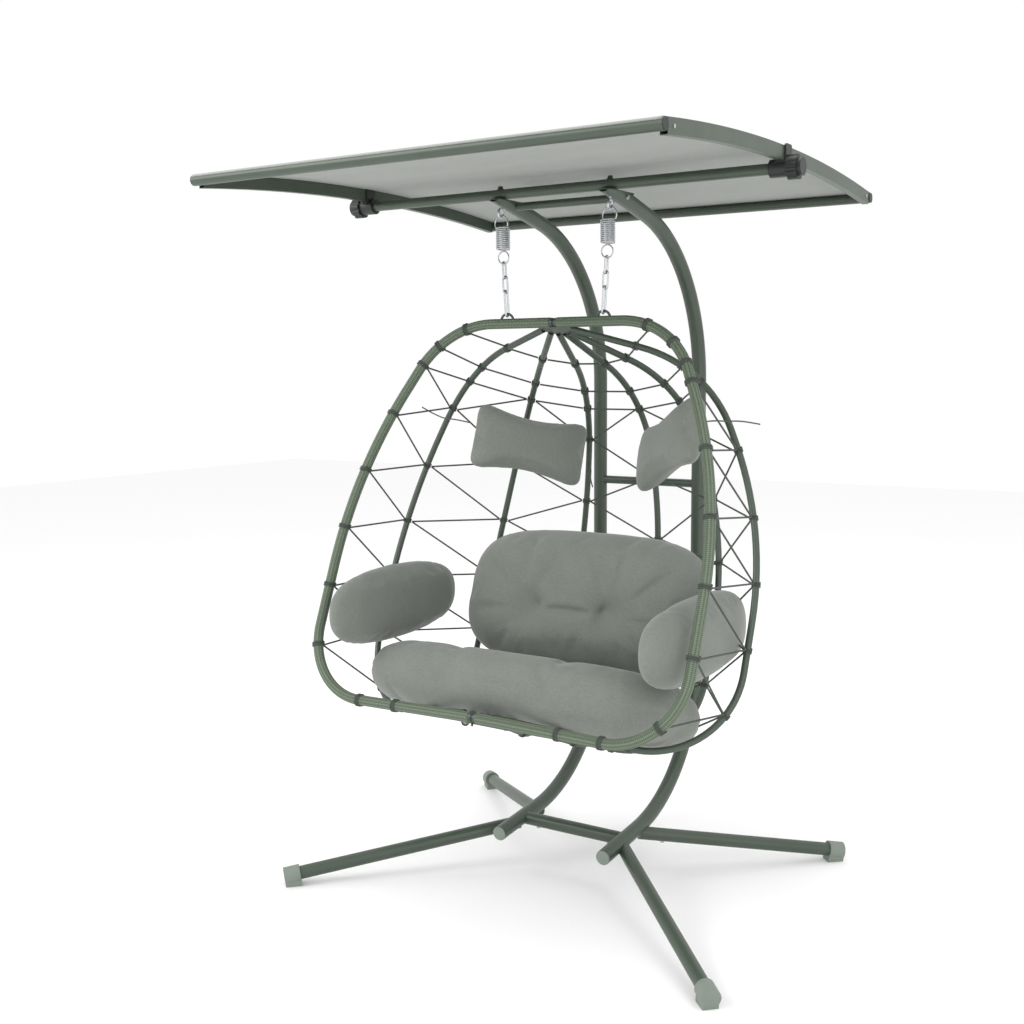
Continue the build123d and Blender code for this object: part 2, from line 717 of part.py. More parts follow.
def rib_path(sign, angle):
    """Centre line of a rib, from the top hub round the back to the bottom hub."""
    out = Vector(1, 0, 0) * (sign * cos(radians(angle))) + behind * sin(radians(angle))
    plane = Plane(origin=tuple(basket_top), x_dir=tuple(out), z_dir=tuple(out.cross(down)))
    with BuildLine(plane) as path:
        FilletPolyline(
            (hub_radius - 2.0, hub_drop),
            (rib_shoulder, rib_shoulder_drop),
            (rib_reach, rib_hip_drop),
            (rib_reach, rib_drop),
            (hub_radius - 2.0, rib_foot_drop),
            radius=[rib_top_bend, rib_hip_bend, rib_foot_bend],
        )
    return path.wire()


hub_cutters = []
for depth in (hub_drop, rib_foot_drop):
    hub_cutters.append(rod(at(0, depth - rib_d, 0), at(0, depth + rib_d, 0), hub_radius))

rim_paths = {side: rim_path(sign) for side, sign in SIDES}
rim_solids = {side: swept(rim_paths[side], rim_r) for side, _ in SIDES}
for side, sign in SIDES:
    with BuildPart() as rim:
        add(swept(rim_paths[side], rim_r, rim_r - rim_wall))
    save(rim, f"{side}_basket_rim")

rib_names = ("side", "middle", "rear")
rib_paths = {}
for name, angle in zip(rib_names, rib_angles):
    with BuildPart() as ribs:
        for side, sign in SIDES:
            rib_paths[name, side] = rib_path(sign, angle)
            add(swept(rib_paths[name, side], rib_r, rib_r - rib_wall))
        for cutter in hub_cutters:
            add(cutter, mode=Mode.SUBTRACT)
    save(ribs, f"{name}_basket_ribs")

with BuildPart() as hubs:
    for depth in (hub_drop, rib_foot_drop):
        flat = Plane(origin=tuple(at(0, depth - hub_t / 2, 0)), x_dir=(1, 0, 0), z_dir=tuple(down))
        with BuildSketch(flat):
            Circle(hub_radius)
            with Locations((0, hub_radius)):
                Rectangle(2 * hub_radius, 2 * hub_radius, mode=Mode.SUBTRACT)
        extrude(amount=hub_t)
    for side, _ in SIDES:
        add(rim_solids[side], mode=Mode.SUBTRACT)
    for depth in (0.0, rim_middle_drop):
        add(rod(at(-rim_gap, depth, 0), at(rim_gap, depth, 0), rim_r), mode=Mode.SUBTRACT)
save(hubs, "basket_hubs")

# Sleeves inside the two rim joints hold the halves in line.
with BuildPart() as joiners:
    for depth in (0.0, rim_middle_drop):
        add(rod(at(-rim_gap / 2, depth, 0), at(rim_gap / 2, depth, 0), rim_r - 0.6))
    for side, _ in SIDES:
        add(rim_solids[side], mode=Mode.SUBTRACT)
    for depth in (0.0, rim_middle_drop):
        add(rod(at(-rim_spigot / 2, depth, 0), at(rim_spigot / 2, depth, 0), rim_r - rim_wall - 2 * slide_gap))
    add(rod(at(0, rim_middle_drop + rim_r - 3.0, 0), at(0, rim_middle_drop + rim_r + 9.0, 0), 3.0))
save(joiners, "rim_joiners")

with BuildPart() as rim_eyes:
    for side, sign in SIDES:
        low = rim_eye_z - rim_eye_half
        with BuildLine(Plane.XZ) as path:
            ThreePointArc(
                (sign * rim_eye_x - rim_eye_half, low),
                (sign * rim_eye_x, rim_eye_z),
                (sign * rim_eye_x + rim_eye_half, low),
            )
        add(swept(path.wire(), rim_eye_wire / 2))
        add(rim_solids[side], mode=Mode.SUBTRACT)
save(rim_eyes, "rim_eyes")

with BuildPart() as rim_wraps:
    for side, sign in SIDES:
        add(swept(rim_paths[side], rim_skin_r, rim_r))
    for depth in (0.0, rim_middle_drop):
        add(rod(at(-wrap_start, depth, 0), at(wrap_start, depth, 0), rim_skin_r + 1.0), mode=Mode.SUBTRACT)
    add(rim_eyes.part, mode=Mode.SUBTRACT)
    add(hubs.part, mode=Mode.SUBTRACT)
save(rim_wraps, "rim_wraps")

# ---------------------------------------------------------------- net
lines = [(rim_paths["left"], rim_skin_r)]
lines += [(rib_paths[name, "left"], rib_r) for name in rib_names]
lines += [(rib_paths[name, "right"], rib_r) for name in reversed(rib_names)]
lines += [(rim_paths["right"], rim_skin_r)]


def depth_of(point):
    """Distance of a point down along the opening."""
    return (point - basket_top).dot(down)


def lowest(path):
    """Share of a basket tube's length where it is lowest."""
    return max((step / 100 for step in range(101)), key=lambda share: depth_of(path @ share))


def station(path, depth):
    """Point and direction where a basket tube passes a depth on its way down."""
    low, high = 0.0, lowest(path)
    for _ in range(30):
        middle = (low + high) / 2
        if depth_of(path @ middle) < depth:
            low = middle
        else:
            high = middle
    return path @ low, path % low


def foot_station(path, reach):
    """Point and direction where a basket tube's lower run comes back to a reach."""
    low, high = lowest(path), 1.0
    for _ in range(30):
        middle = (low + high) / 2
        point = path @ middle - basket_top
        if (point - down * point.dot(down)).length > reach:
            low = middle
        else:
            high = middle
    return path @ low, path % low


def course_depth(index, course):
    """Depth of one of the three top courses of cord on a line of the net."""
    return (rim_courses if index in (0, len(lines) - 1) else rib_courses)[course]


def zigzag_depths(index):
    """Depths where the diagonal cords meet a line of the net."""
    if index % 2:
        return [odd_start + step * zigzag_step for step in range(6)]
    return [course_depth(index, 2)] + [even_start + step * zigzag_step for step in range(5)]


stations = {}
for index, (path, radius) in enumerate(lines):
    for course in range(3):
        stations[index, "course", course] = station(path, course_depth(index, course))
    for step, depth in enumerate(zigzag_depths(index)):
        stations[index, "zigzag", step] = station(path, depth)
    for ring, reach in enumerate(foot_rings):
        stations[index, "foot", ring] = foot_station(path, reach)

runs = []
for index in range(len(lines) - 1):
    runs += [((index, "course", course), (index + 1, "course", course)) for course in range(3)]
    runs += [((index, "foot", ring), (index + 1, "foot", ring)) for ring in range(len(foot_rings))]
    even, odd = (index, index + 1) if index % 2 == 0 else (index + 1, index)
    runs += [((even, "zigzag", step), (odd, "zigzag", step)) for step in range(6)]
    runs += [((odd, "zigzag", step), (even, "zigzag", step + 1)) for step in range(5)]


def binding_radius(key):
    """Outer radius of the cord wound on a basket tube."""
    return lines[key[0]][1] + binding_gap + cord_d


def binding(key, inner_r=0.0):
    """The cord wound on a tube at one station, as a short sleeve."""
    point, along = stations[key]
    half = along.normalized() * (binding_length / 2)
    return rod(tuple(point - half), tuple(point + half), binding_radius(key), inner_r)


def cord_end(key, other):
    """Where a cord leaves the binding at one station towards another."""
    point, along = stations[key]
    towards = stations[other][0] - point
    side_step = (towards - along * towards.dot(along)).normalized()
    return point + side_step * (binding_radius(key) - 1.5)


def net_cord(first, second):
    """One straight cord of the net, cut to meet the bindings at its ends."""
    with BuildPart() as cord:
        add(rod(tuple(cord_end(first, second)), tuple(cord_end(second, first)), cord_d / 2))
        add(binding(first), mode=Mode.SUBTRACT)
        add(binding(second), mode=Mode.SUBTRACT)
    return cord.part


placed = {}
for key in stations:
    point = stations[key][0]
    if not any((point - other).length < 1.0 for other in placed.values()):
        placed[key] = point
with BuildPart() as bindings:
    for key in placed:
        add(binding(key, lines[key[0]][1] + binding_gap))
save(bindings, "net_bindings")

half_lines = len(lines) // 2
for side, chosen in (("left", lambda low: low < half_lines - 1), ("middle", lambda low: low == half_lines - 1),
                     ("right", lambda low: low >= half_lines)):
    cords = [net_cord(first, second) for first, second in runs if chosen(min(first[0], second[0]))]
    net = Compound(children=cords)
    net.label = f"{side}_net_cords"
    export_step(net, f"parts/{side}_net_cords.step")

# ---------------------------------------------------------------- cushions
def nest_point(angle, reach):
    """A corner of the room that the cushions share, seen down the basket's axis."""
    return reach * cos(radians(angle)), reach * sin(radians(angle))


def level(depth):
    """Plane square to the basket's axis: across and behind, facing back up the axis."""
    return Plane(origin=tuple(basket_top + down * depth), x_dir=(1, 0, 0), z_dir=tuple(down * -1))


right_corners = [nest_point(angle, nest_radius) for angle in rib_angles]
left_corners = [(-x, y) for x, y in reversed(right_corners)]
nest_outline = [(-nest_half, -150.0), (nest_half, -150.0), (nest_half, 0.0)] + right_corners
nest_outline += left_corners + [(-nest_half, 0.0)]
with BuildPart() as nest:
    with BuildSketch(level(seat_bottom)):
        Polygon(*nest_outline, align=None)
    extrude(amount=seat_bottom - back_top + 200.0)

with BuildPart() as seat:
    with BuildSketch(level(seat_bottom)):
        Circle(seat_radius)
        with Locations((0, seat_front - seat_radius)):
            Rectangle(2 * seat_radius, 2 * seat_radius, mode=Mode.SUBTRACT)
        with Locations((0, seat_back + seat_radius)):
            Rectangle(2 * seat_radius, 2 * seat_radius, mode=Mode.SUBTRACT)
    extrude(amount=seat_bottom - seat_top)
    fillet(seat.edges().filter_by(Axis((0, 0, 0), tuple(down))), radius=seat_corner)
    fillet(seat.faces().sort_by(Axis((0, 0, 0), tuple(down)))[0].edges(), radius=seat_round)
save(seat, "seat_cushion")

with BuildPart() as back_cushion:
    with BuildSketch(level(seat_top - soft_gap)):
        with Locations((0, back_front + nest_radius)):
            Rectangle(2 * back_half, 2 * nest_radius)
    extrude(amount=seat_top - soft_gap - back_top)
    add(nest.part, mode=Mode.INTERSECT)
    fillet(back_cushion.faces().sort_by(Axis((0, 0, 0), tuple(behind)))[0].edges(), radius=back_round)
save(back_cushion, "back_cushion")

arm_profile = [(-90.0, 850.0), (130.0, 690.0), (380.0, 606.0), (440.0, 650.0), (440.0, 800.0),
               (200.0, seat_top - soft_gap), (seat_front - soft_gap, seat_top - soft_gap), (10.0, arm_nose),
               (-20.0, arm_nose)]
for side, sign in SIDES:
    edge = Plane(origin=tuple(at(sign * arm_inner, 0, 0)), x_dir=tuple(behind), z_dir=(sign, 0, 0))
    turn = 1 if edge.y_dir.dot(down) > 0 else -1
    with BuildPart() as arm_cushion:
        with BuildSketch(edge):
            Polygon(*[(back, turn * depth) for back, depth in arm_profile], align=None)
            fillet(vertices(), radius=arm_round)
        extrude(amount=arm_outer - arm_inner)
        add(nest.part, mode=Mode.INTERSECT)
    save(arm_cushion, f"{side}_arm_cushion")

pillow_planes = {}
for side, sign in SIDES:
    across, depth, back = pillow_left if side == "left" else pillow_right
    yaw, lean = (radians(turned) for turned in pillow_turns[side])
    flat_way = Vector(1, 0, 0) * cos(yaw) - behind * (sin(yaw) * sign)
    width_way = flat_way * cos(lean) - down * sin(lean)
    front_way = width_way.cross(down * cos(lean) + flat_way * sin(lean))
    centre = at(across, depth, back)
    face = Plane(origin=tuple(centre), x_dir=tuple(width_way), z_dir=tuple(front_way))
    pillow_planes[side] = face
    half_length = pillow_length / 2
    outline = [
        (-half_length, -pillow_height / 2), (-half_length / 3, -pillow_waist / 2),
        (half_length / 3, -pillow_waist / 2), (half_length, -pillow_height / 2),
        (half_length, pillow_height / 2), (half_length / 3, pillow_waist / 2),
        (-half_length / 3, pillow_waist / 2), (-half_length, pillow_height / 2),
    ]
    with BuildPart() as pillow:
        with BuildSketch(face):
            Polygon(*outline, align=None)
            fillet(vertices(), radius=18.0)
        extrude(amount=pillow_t / 2, both=True)
        fillet(pillow.faces().sort_by(Axis((0, 0, 0), tuple(front_way)))[-1].edges(), radius=16.0)
        fillet(pillow.faces().sort_by(Axis((0, 0, 0), tuple(front_way)))[0].edges(), radius=16.0)
    save(pillow, f"{side}_head_pillow")

# Ties that hold the head pillows to the ribs: across, down and behind, in basket lengths.
tie_routes = {
    "left_outer_tie": [(-333, 233, 176), (-384, 225, 171), (-436, 218, 186), (-470, 206, 204), (-500, 196, 198),
                       (-524, 186, 178)],
    "left_inner_tie": [(-57, 262, 424), (-60, 273, 451), (-74, 285, 480), (-90, 292, 512), (-96, 306, 544)],
    "right_outer_tie": [(428, 237, 116), (457, 225, 136), (469, 213, 177), (496, 204, 196), (520, 198, 226),
                        (528, 190, 260)],
}


def tie_radii(points):
    """Bend radii for a limp cord, as large as its runs allow."""
    radii = []
    for before, corner, after in zip(points, points[1:], points[2:]):
        first = corner - before
        second = after - corner
        half_turn = radians(first.get_angle(second)) / 2
        radii.append(0.45 * min(first.length, second.length) / tan(half_turn))
    return radii


for name, route in tie_routes.items():
    points = [at(*step) for step in route]
    radii = tie_radii(points)
    with BuildLine() as line:
        FilletPolyline(*[tuple(point) for point in points], radius=radii)
    with BuildPart() as tie:
        add(swept(line.wire(), tie_d / 2))
    save(tie, name)
    print(name, "length", round(line.wire().length, 1), "radii", [round(r, 1) for r in radii])
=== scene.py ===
"""Looks of the hanging two-seat basket swing: finishes, soft goods, net bindings and light."""

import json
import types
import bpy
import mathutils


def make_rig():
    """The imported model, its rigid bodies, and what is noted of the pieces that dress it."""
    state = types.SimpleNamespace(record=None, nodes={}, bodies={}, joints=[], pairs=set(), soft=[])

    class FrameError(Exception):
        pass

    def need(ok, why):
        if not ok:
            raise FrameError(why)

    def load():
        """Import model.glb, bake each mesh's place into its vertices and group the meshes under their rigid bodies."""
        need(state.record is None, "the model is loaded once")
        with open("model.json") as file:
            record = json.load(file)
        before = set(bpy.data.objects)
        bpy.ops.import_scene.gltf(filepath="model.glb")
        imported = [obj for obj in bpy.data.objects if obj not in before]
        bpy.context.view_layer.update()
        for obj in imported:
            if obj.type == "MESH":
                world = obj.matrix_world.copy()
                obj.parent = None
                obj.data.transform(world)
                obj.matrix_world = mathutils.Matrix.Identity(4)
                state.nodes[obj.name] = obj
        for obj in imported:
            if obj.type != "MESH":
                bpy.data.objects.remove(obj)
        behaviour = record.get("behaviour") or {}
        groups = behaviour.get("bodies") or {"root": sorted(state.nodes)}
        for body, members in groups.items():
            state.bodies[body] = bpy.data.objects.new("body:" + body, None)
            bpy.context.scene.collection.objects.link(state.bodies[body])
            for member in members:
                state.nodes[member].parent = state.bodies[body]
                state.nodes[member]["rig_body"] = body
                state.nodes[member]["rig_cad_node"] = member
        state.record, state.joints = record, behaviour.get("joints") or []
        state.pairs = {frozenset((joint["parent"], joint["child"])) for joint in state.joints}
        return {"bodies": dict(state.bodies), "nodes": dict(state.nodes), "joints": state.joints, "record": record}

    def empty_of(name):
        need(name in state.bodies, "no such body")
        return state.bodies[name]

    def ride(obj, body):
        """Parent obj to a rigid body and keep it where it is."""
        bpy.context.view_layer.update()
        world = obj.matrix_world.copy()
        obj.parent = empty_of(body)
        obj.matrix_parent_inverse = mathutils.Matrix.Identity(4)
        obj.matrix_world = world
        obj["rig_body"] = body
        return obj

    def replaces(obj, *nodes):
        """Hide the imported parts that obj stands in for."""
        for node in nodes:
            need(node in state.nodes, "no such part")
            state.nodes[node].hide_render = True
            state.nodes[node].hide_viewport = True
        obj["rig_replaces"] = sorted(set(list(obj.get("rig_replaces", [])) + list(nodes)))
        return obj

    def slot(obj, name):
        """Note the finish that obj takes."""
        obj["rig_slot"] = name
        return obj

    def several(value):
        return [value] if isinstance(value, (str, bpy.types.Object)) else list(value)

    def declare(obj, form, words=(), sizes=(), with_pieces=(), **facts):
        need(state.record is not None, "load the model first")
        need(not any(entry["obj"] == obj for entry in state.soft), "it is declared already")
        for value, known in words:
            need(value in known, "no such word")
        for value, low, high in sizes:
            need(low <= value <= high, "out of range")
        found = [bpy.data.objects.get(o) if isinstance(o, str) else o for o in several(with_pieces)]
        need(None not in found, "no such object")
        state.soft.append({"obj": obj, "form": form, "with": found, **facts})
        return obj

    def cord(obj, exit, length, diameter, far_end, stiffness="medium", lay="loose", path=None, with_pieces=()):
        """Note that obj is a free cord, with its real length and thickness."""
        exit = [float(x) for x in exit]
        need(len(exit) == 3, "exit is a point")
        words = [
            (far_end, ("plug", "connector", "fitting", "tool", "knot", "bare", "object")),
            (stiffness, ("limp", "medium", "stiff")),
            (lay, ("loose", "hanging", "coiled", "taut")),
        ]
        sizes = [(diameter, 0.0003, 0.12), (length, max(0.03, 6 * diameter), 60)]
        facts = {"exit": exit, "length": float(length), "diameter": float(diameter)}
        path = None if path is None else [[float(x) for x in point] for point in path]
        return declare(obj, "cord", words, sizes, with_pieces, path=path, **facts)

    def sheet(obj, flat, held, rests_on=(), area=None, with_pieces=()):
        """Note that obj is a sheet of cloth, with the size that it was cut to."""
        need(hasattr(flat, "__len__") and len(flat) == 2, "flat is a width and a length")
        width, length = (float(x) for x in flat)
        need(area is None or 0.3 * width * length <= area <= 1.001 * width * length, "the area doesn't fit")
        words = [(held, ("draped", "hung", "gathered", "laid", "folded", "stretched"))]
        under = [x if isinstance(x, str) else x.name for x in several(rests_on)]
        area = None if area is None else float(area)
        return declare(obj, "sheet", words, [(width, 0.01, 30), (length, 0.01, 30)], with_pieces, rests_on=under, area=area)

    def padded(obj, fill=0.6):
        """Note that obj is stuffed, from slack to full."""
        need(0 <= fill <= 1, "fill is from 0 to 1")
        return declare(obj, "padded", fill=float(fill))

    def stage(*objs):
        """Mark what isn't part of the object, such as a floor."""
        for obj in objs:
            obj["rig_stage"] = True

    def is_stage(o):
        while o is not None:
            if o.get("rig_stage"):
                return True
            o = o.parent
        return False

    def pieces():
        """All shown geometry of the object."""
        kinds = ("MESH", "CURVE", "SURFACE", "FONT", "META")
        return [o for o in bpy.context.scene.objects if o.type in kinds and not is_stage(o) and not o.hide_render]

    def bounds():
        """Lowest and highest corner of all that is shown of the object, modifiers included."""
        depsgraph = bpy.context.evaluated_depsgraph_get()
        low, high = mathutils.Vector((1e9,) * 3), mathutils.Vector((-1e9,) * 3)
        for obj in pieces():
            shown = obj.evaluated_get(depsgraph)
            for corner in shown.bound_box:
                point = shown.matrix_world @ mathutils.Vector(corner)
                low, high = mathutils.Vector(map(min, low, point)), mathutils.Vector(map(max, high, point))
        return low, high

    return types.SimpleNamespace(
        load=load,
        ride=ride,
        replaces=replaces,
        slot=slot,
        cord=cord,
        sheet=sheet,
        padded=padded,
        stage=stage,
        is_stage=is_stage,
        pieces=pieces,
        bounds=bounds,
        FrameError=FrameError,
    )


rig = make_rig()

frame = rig.load()

import json
import logging
import math
import os
from dataclasses import dataclass, field
from enum import Enum

import bmesh
import bpy
import numpy as np
from mathutils import Matrix, Vector

logging.basicConfig(level=logging.INFO, format="%(message)s")
log = logging.getLogger("swing")

TILT = math.radians(22.1)
BASKET_TOP = Vector((0.0, 0.0, 1.597))
DOWN = Vector((0.0, -math.sin(TILT), -math.cos(TILT)))
BEHIND = Vector((0.0, math.cos(TILT), -math.sin(TILT)))
ACROSS = Vector((1.0, 0.0, 0.0))


def at(across: float, depth: float, back: float) -> Vector:
    """A point of the basket in metres: across, down along its opening, and behind the opening."""
    return BASKET_TOP + ACROSS * across + DOWN * depth + BEHIND * back


def write_bounds(key: str) -> None:
    """Args:
        key: name of the entry.
    """
    sizes = {}
    if key != "cad" and os.path.exists("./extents.json"):
        with open("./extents.json") as handle:
            sizes = json.load(handle)
    low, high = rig.bounds()
    sizes[key] = [list(low), list(high)]
    with open("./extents.json", "w") as handle:
        json.dump(sizes, handle)


class Side(Enum):
    """The two sides of the swing, as seen from the front."""

    LEFT = -1
    RIGHT = 1


# ------------------------------------------------------------------ shader tools
class Value:
    """A shader socket that takes part in Python sums."""

    def __init__(self, shader: "Shader", socket: bpy.types.NodeSocket) -> None:
        """Wrap one output socket."""
        self.shader = shader
        self.socket = socket

    def _math(self, operation: str, first: object, second: object) -> "Value":
        """Add one Math node and return its result."""
        node = self.shader.node("ShaderNodeMath", {"operation": operation}, {0: first, 1: second})
        return Value(self.shader, node.outputs[0])

    def __add__(self, other: object) -> "Value":
        """Sum."""
        return self._math("ADD", self, other)

    def __radd__(self, other: object) -> "Value":
        """Sum, reflected."""
        return self._math("ADD", other, self)

    def __sub__(self, other: object) -> "Value":
        """Difference."""
        return self._math("SUBTRACT", self, other)

    def __rsub__(self, other: object) -> "Value":
        """Difference, reflected."""
        return self._math("SUBTRACT", other, self)

    def __mul__(self, other: object) -> "Value":
        """Product."""
        return self._math("MULTIPLY", self, other)

    def __rmul__(self, other: object) -> "Value":
        """Product, reflected."""
        return self._math("MULTIPLY", other, self)

    def sine(self) -> "Value":
        """Sine of the value in radians."""
        return self._math("SINE", self, 0.0)

    def size(self) -> "Value":
        """The value without its sign."""
        return self._math("ABSOLUTE", self, 0.0)

    def at_most(self, other: object) -> "Value":
        """The smaller of two values."""
        return self._math("MINIMUM", self, other)

    def at_least(self, other: object) -> "Value":
        """The larger of two values."""
        return self._math("MAXIMUM", self, other)


class Shader:
    """One material's node tree, with a method that makes any node."""

    def __init__(self, name: str) -> None:
        """Start an empty material."""
        self.material = bpy.data.materials.new(name)
        self.material.use_nodes = True
        self.tree = self.material.node_tree
        self.tree.nodes.clear()
        self.surface = self.node("ShaderNodeBsdfPrincipled", {}, {})
        output = self.node("ShaderNodeOutputMaterial", {}, {})
        self.tree.links.new(self.surface.outputs[0], output.inputs[0])

    def node(self, kind: str, settings: dict, inputs: dict) -> bpy.types.Node:
        """Make a node.

        Args:
            kind: the node's type.
            settings: attributes that are set first.
            inputs: socket index or name to a value, a socket or a Value.

        Returns:
            The new node.
        """
        made = self.tree.nodes.new(kind)
        for key, value in settings.items():
            setattr(made, key, value)
        for key, value in inputs.items():
            self.feed(made.inputs[key], value)
        return made

    def feed(self, socket: bpy.types.NodeSocket, value: object) -> None:
        """Set or link one input socket."""
        if isinstance(value, Value):
            value = value.socket
        if isinstance(value, bpy.types.NodeSocket):
            self.tree.links.new(value, socket)
        else:
            socket.default_value = value

    def place(self) -> bpy.types.NodeSocket:
        """Object coordinates."""
        return self.node("ShaderNodeTexCoord", {}, {}).outputs["Object"]

    def noise(self, scale: float, detail: float = 3.0, stretch: tuple = (1.0, 1.0, 1.0)) -> Value:
        """Noise on Object coordinates, from 0 to 1."""
        mapping = self.node("ShaderNodeMapping", {}, {"Vector": self.place(), "Scale": stretch})
        made = self.node("ShaderNodeTexNoise", {}, {"Vector": mapping.outputs[0], "Scale": scale, "Detail": detail})
        return Value(self, made.outputs[0])

    def along(self, axis: Vector, origin: Vector) -> Value:
        """Distance along an axis from an origin, in metres, on Object coordinates."""
        moved = self.node("ShaderNodeVectorMath", {"operation": "SUBTRACT"}, {0: self.place(), 1: tuple(origin)})
        made = self.node("ShaderNodeVectorMath", {"operation": "DOT_PRODUCT"}, {0: moved.outputs[0], 1: tuple(axis)})
        return Value(self, made.outputs["Value"])

    def attribute(self, name: str) -> tuple["Value", "Value"]:
        """The first two parts of a named attribute."""
        made = self.node("ShaderNodeAttribute", {"attribute_name": name}, {})
        parts = self.node("ShaderNodeSeparateXYZ", {}, {0: made.outputs["Vector"]})
        return Value(self, parts.outputs[0]), Value(self, parts.outputs[1])

    def blend(self, share: object, first: tuple, second: tuple) -> bpy.types.NodeSocket:
        """A colour between two colours."""
        made = self.node("ShaderNodeMix", {"data_type": "RGBA"}, {0: share, 6: first, 7: second})
        return made.outputs[2]

    def bump(self, height: object, strength: float, distance: float) -> None:
        """Send a height to the surface's normal."""
        made = self.node("ShaderNodeBump", {}, {"Strength": strength, "Distance": distance, "Height": height})
        self.feed(self.surface.inputs["Normal"], made.outputs[0])


def grey(red: int, green: int, blue: int) -> tuple[float, float, float, float]:
    """A linear colour from everyday 0 to 255 values."""
    parts = []
    for part in (red, green, blue):
        share = part / 255
        parts.append(share / 12.92 if share <= 0.04045 else ((share + 0.055) / 1.055) ** 2.4)
    return (*parts, 1.0)


# ------------------------------------------------------------------ finishes
@dataclass(frozen=True)
class PowderCoat:
    """Satin powder coat with a fine orange-peel surface."""

    name: str = "green_powder_coat"
    colour: tuple = grey(52, 64, 51)
    light: tuple = grey(66, 79, 65)
    roughness: float = 0.42

    def make(self) -> bpy.types.Material:
        """Build the material."""
        shader = Shader(self.name)
        cloud = shader.noise(9.0)
        grain = shader.noise(900.0, 2.0)
        shader.feed(shader.surface.inputs["Base Color"], shader.blend(cloud, self.colour, self.light))
        shader.feed(shader.surface.inputs["Roughness"], self.roughness + 0.1 * shader.noise(30.0))
        shader.surface.inputs["Coat Weight"].default_value = 0.25
        shader.surface.inputs["Coat Roughness"].default_value = 0.25
        shader.bump(grain, 0.25, 0.0004)
        return shader.material


@dataclass(frozen=True)
class BraidedWrap:
    """Flat resin strands braided tightly round the rim, in two greens."""

    name: str = "braided_wrap"
    dark: tuple = grey(40, 54, 41)
    light: tuple = grey(122, 136, 114)
    strand: float = 0.0095
    roughness: float = 0.5

    def make(self) -> bpy.types.Material:
        """Build the material."""
        shader = Shader(self.name)
        run, turn = shader.attribute("wrap")
        turns = 2 * math.pi / self.strand
        one = (run * turns + turn * (2 * math.pi * 5)).sine()
        two = (run * turns - turn * (2 * math.pi * 5)).sine()
        weave = one * two
        height = weave.size()
        share = (weave * 0.5 + 0.5) * 0.75 + shader.noise(160.0) * 0.25
        shader.feed(shader.surface.inputs["Base Color"], shader.blend(share, self.dark, self.light))
        shader.feed(shader.surface.inputs["Roughness"], self.roughness + 0.12 * height)
        shader.bump(height, 0.7, 0.0012)
        return shader.material


@dataclass(frozen=True)
class TwistedCord:
    """Dark cord with a tight lay."""

    name: str = "net_cord"
    dark: tuple = grey(52, 58, 52)
    light: tuple = grey(84, 90, 84)

    def make(self) -> bpy.types.Material:
        """Build the material."""
        shader = Shader(self.name)
        fleck = shader.noise(700.0, 2.0)
        shader.feed(shader.surface.inputs["Base Color"], shader.blend(fleck, self.dark, self.light))
        shader.feed(shader.surface.inputs["Roughness"], 0.6 + 0.15 * fleck)
        shader.bump(fleck, 0.5, 0.0008)
        return shader.material


@dataclass(frozen=True)
class MouldedPlastic:
    """Matt moulded plastic with fine grain."""

    name: str
    colour: tuple
    roughness: float = 0.5

    def make(self) -> bpy.types.Material:
        """Build the material."""
        shader = Shader(self.name)
        grain = shader.noise(600.0, 2.0)
        darker = tuple(part * 0.8 for part in self.colour[:3]) + (1.0,)
        shader.feed(shader.surface.inputs["Base Color"], shader.blend(shader.noise(25.0), darker, self.colour))
        shader.feed(shader.surface.inputs["Roughness"], self.roughness + 0.12 * grain)
        shader.bump(grain, 0.2, 0.0004)
        return shader.material


@dataclass(frozen=True)
class ZincPlate:
    """Bright zinc plate with slight clouding."""

    name: str = "bright_zinc"
    light: tuple = grey(214, 216, 218)
    dull: tuple = grey(170, 174, 178)

    def make(self) -> bpy.types.Material:
        """Build the material."""
        shader = Shader(self.name)
        cloud = shader.noise(180.0)
        shader.feed(shader.surface.inputs["Base Color"], shader.blend(cloud, self.dull, self.light))
        shader.feed(shader.surface.inputs["Roughness"], 0.2 + 0.18 * cloud)
        shader.surface.inputs["Metallic"].default_value = 1.0
        shader.bump(cloud, 0.08, 0.0003)
        return shader.material


@dataclass(frozen=True)
class MelangeCloth:
    """Grey-green polyester with a slubby plain weave and a light sheen."""

    name: str
    dark: tuple
    light: tuple
    thread: float = 0.0016
    across: tuple = (1.0, 0.0, 0.0)
    up: tuple = (0.0, 0.0, 1.0)
    roughness: float = 0.86

    def make(self) -> bpy.types.Material:
        """Build the material."""
        shader = Shader(self.name)
        rate = 2 * math.pi / self.thread
        origin = Vector((0.0, 0.0, 0.0))
        warp = (shader.along(Vector(self.across), origin) * rate).sine()
        weft = (shader.along(Vector(self.up), origin) * rate).sine()
        weave = (warp * weft) * 0.5 + 0.5
        slub = shader.noise(420.0, 3.0, (1.0, 1.0, 0.16)) * 0.5 + shader.noise(420.0, 3.0, (0.16, 1.0, 1.0)) * 0.5
        cloud = shader.noise(14.0, 2.0)
        share = slub * 0.9 + cloud * 0.2 - 0.05
        shader.feed(shader.surface.inputs["Base Color"], shader.blend(share, self.dark, self.light))
        shader.feed(shader.surface.inputs["Roughness"], self.roughness + 0.08 * weave)
        shader.surface.inputs["Sheen Weight"].default_value = 0.25
        shader.surface.inputs["Sheen Roughness"].default_value = 0.5
        shader.surface.inputs["Specular IOR Level"].default_value = 0.25
        shader.bump(weave * 0.5 + slub * 0.8, 0.35, 0.0007)
        return shader.material


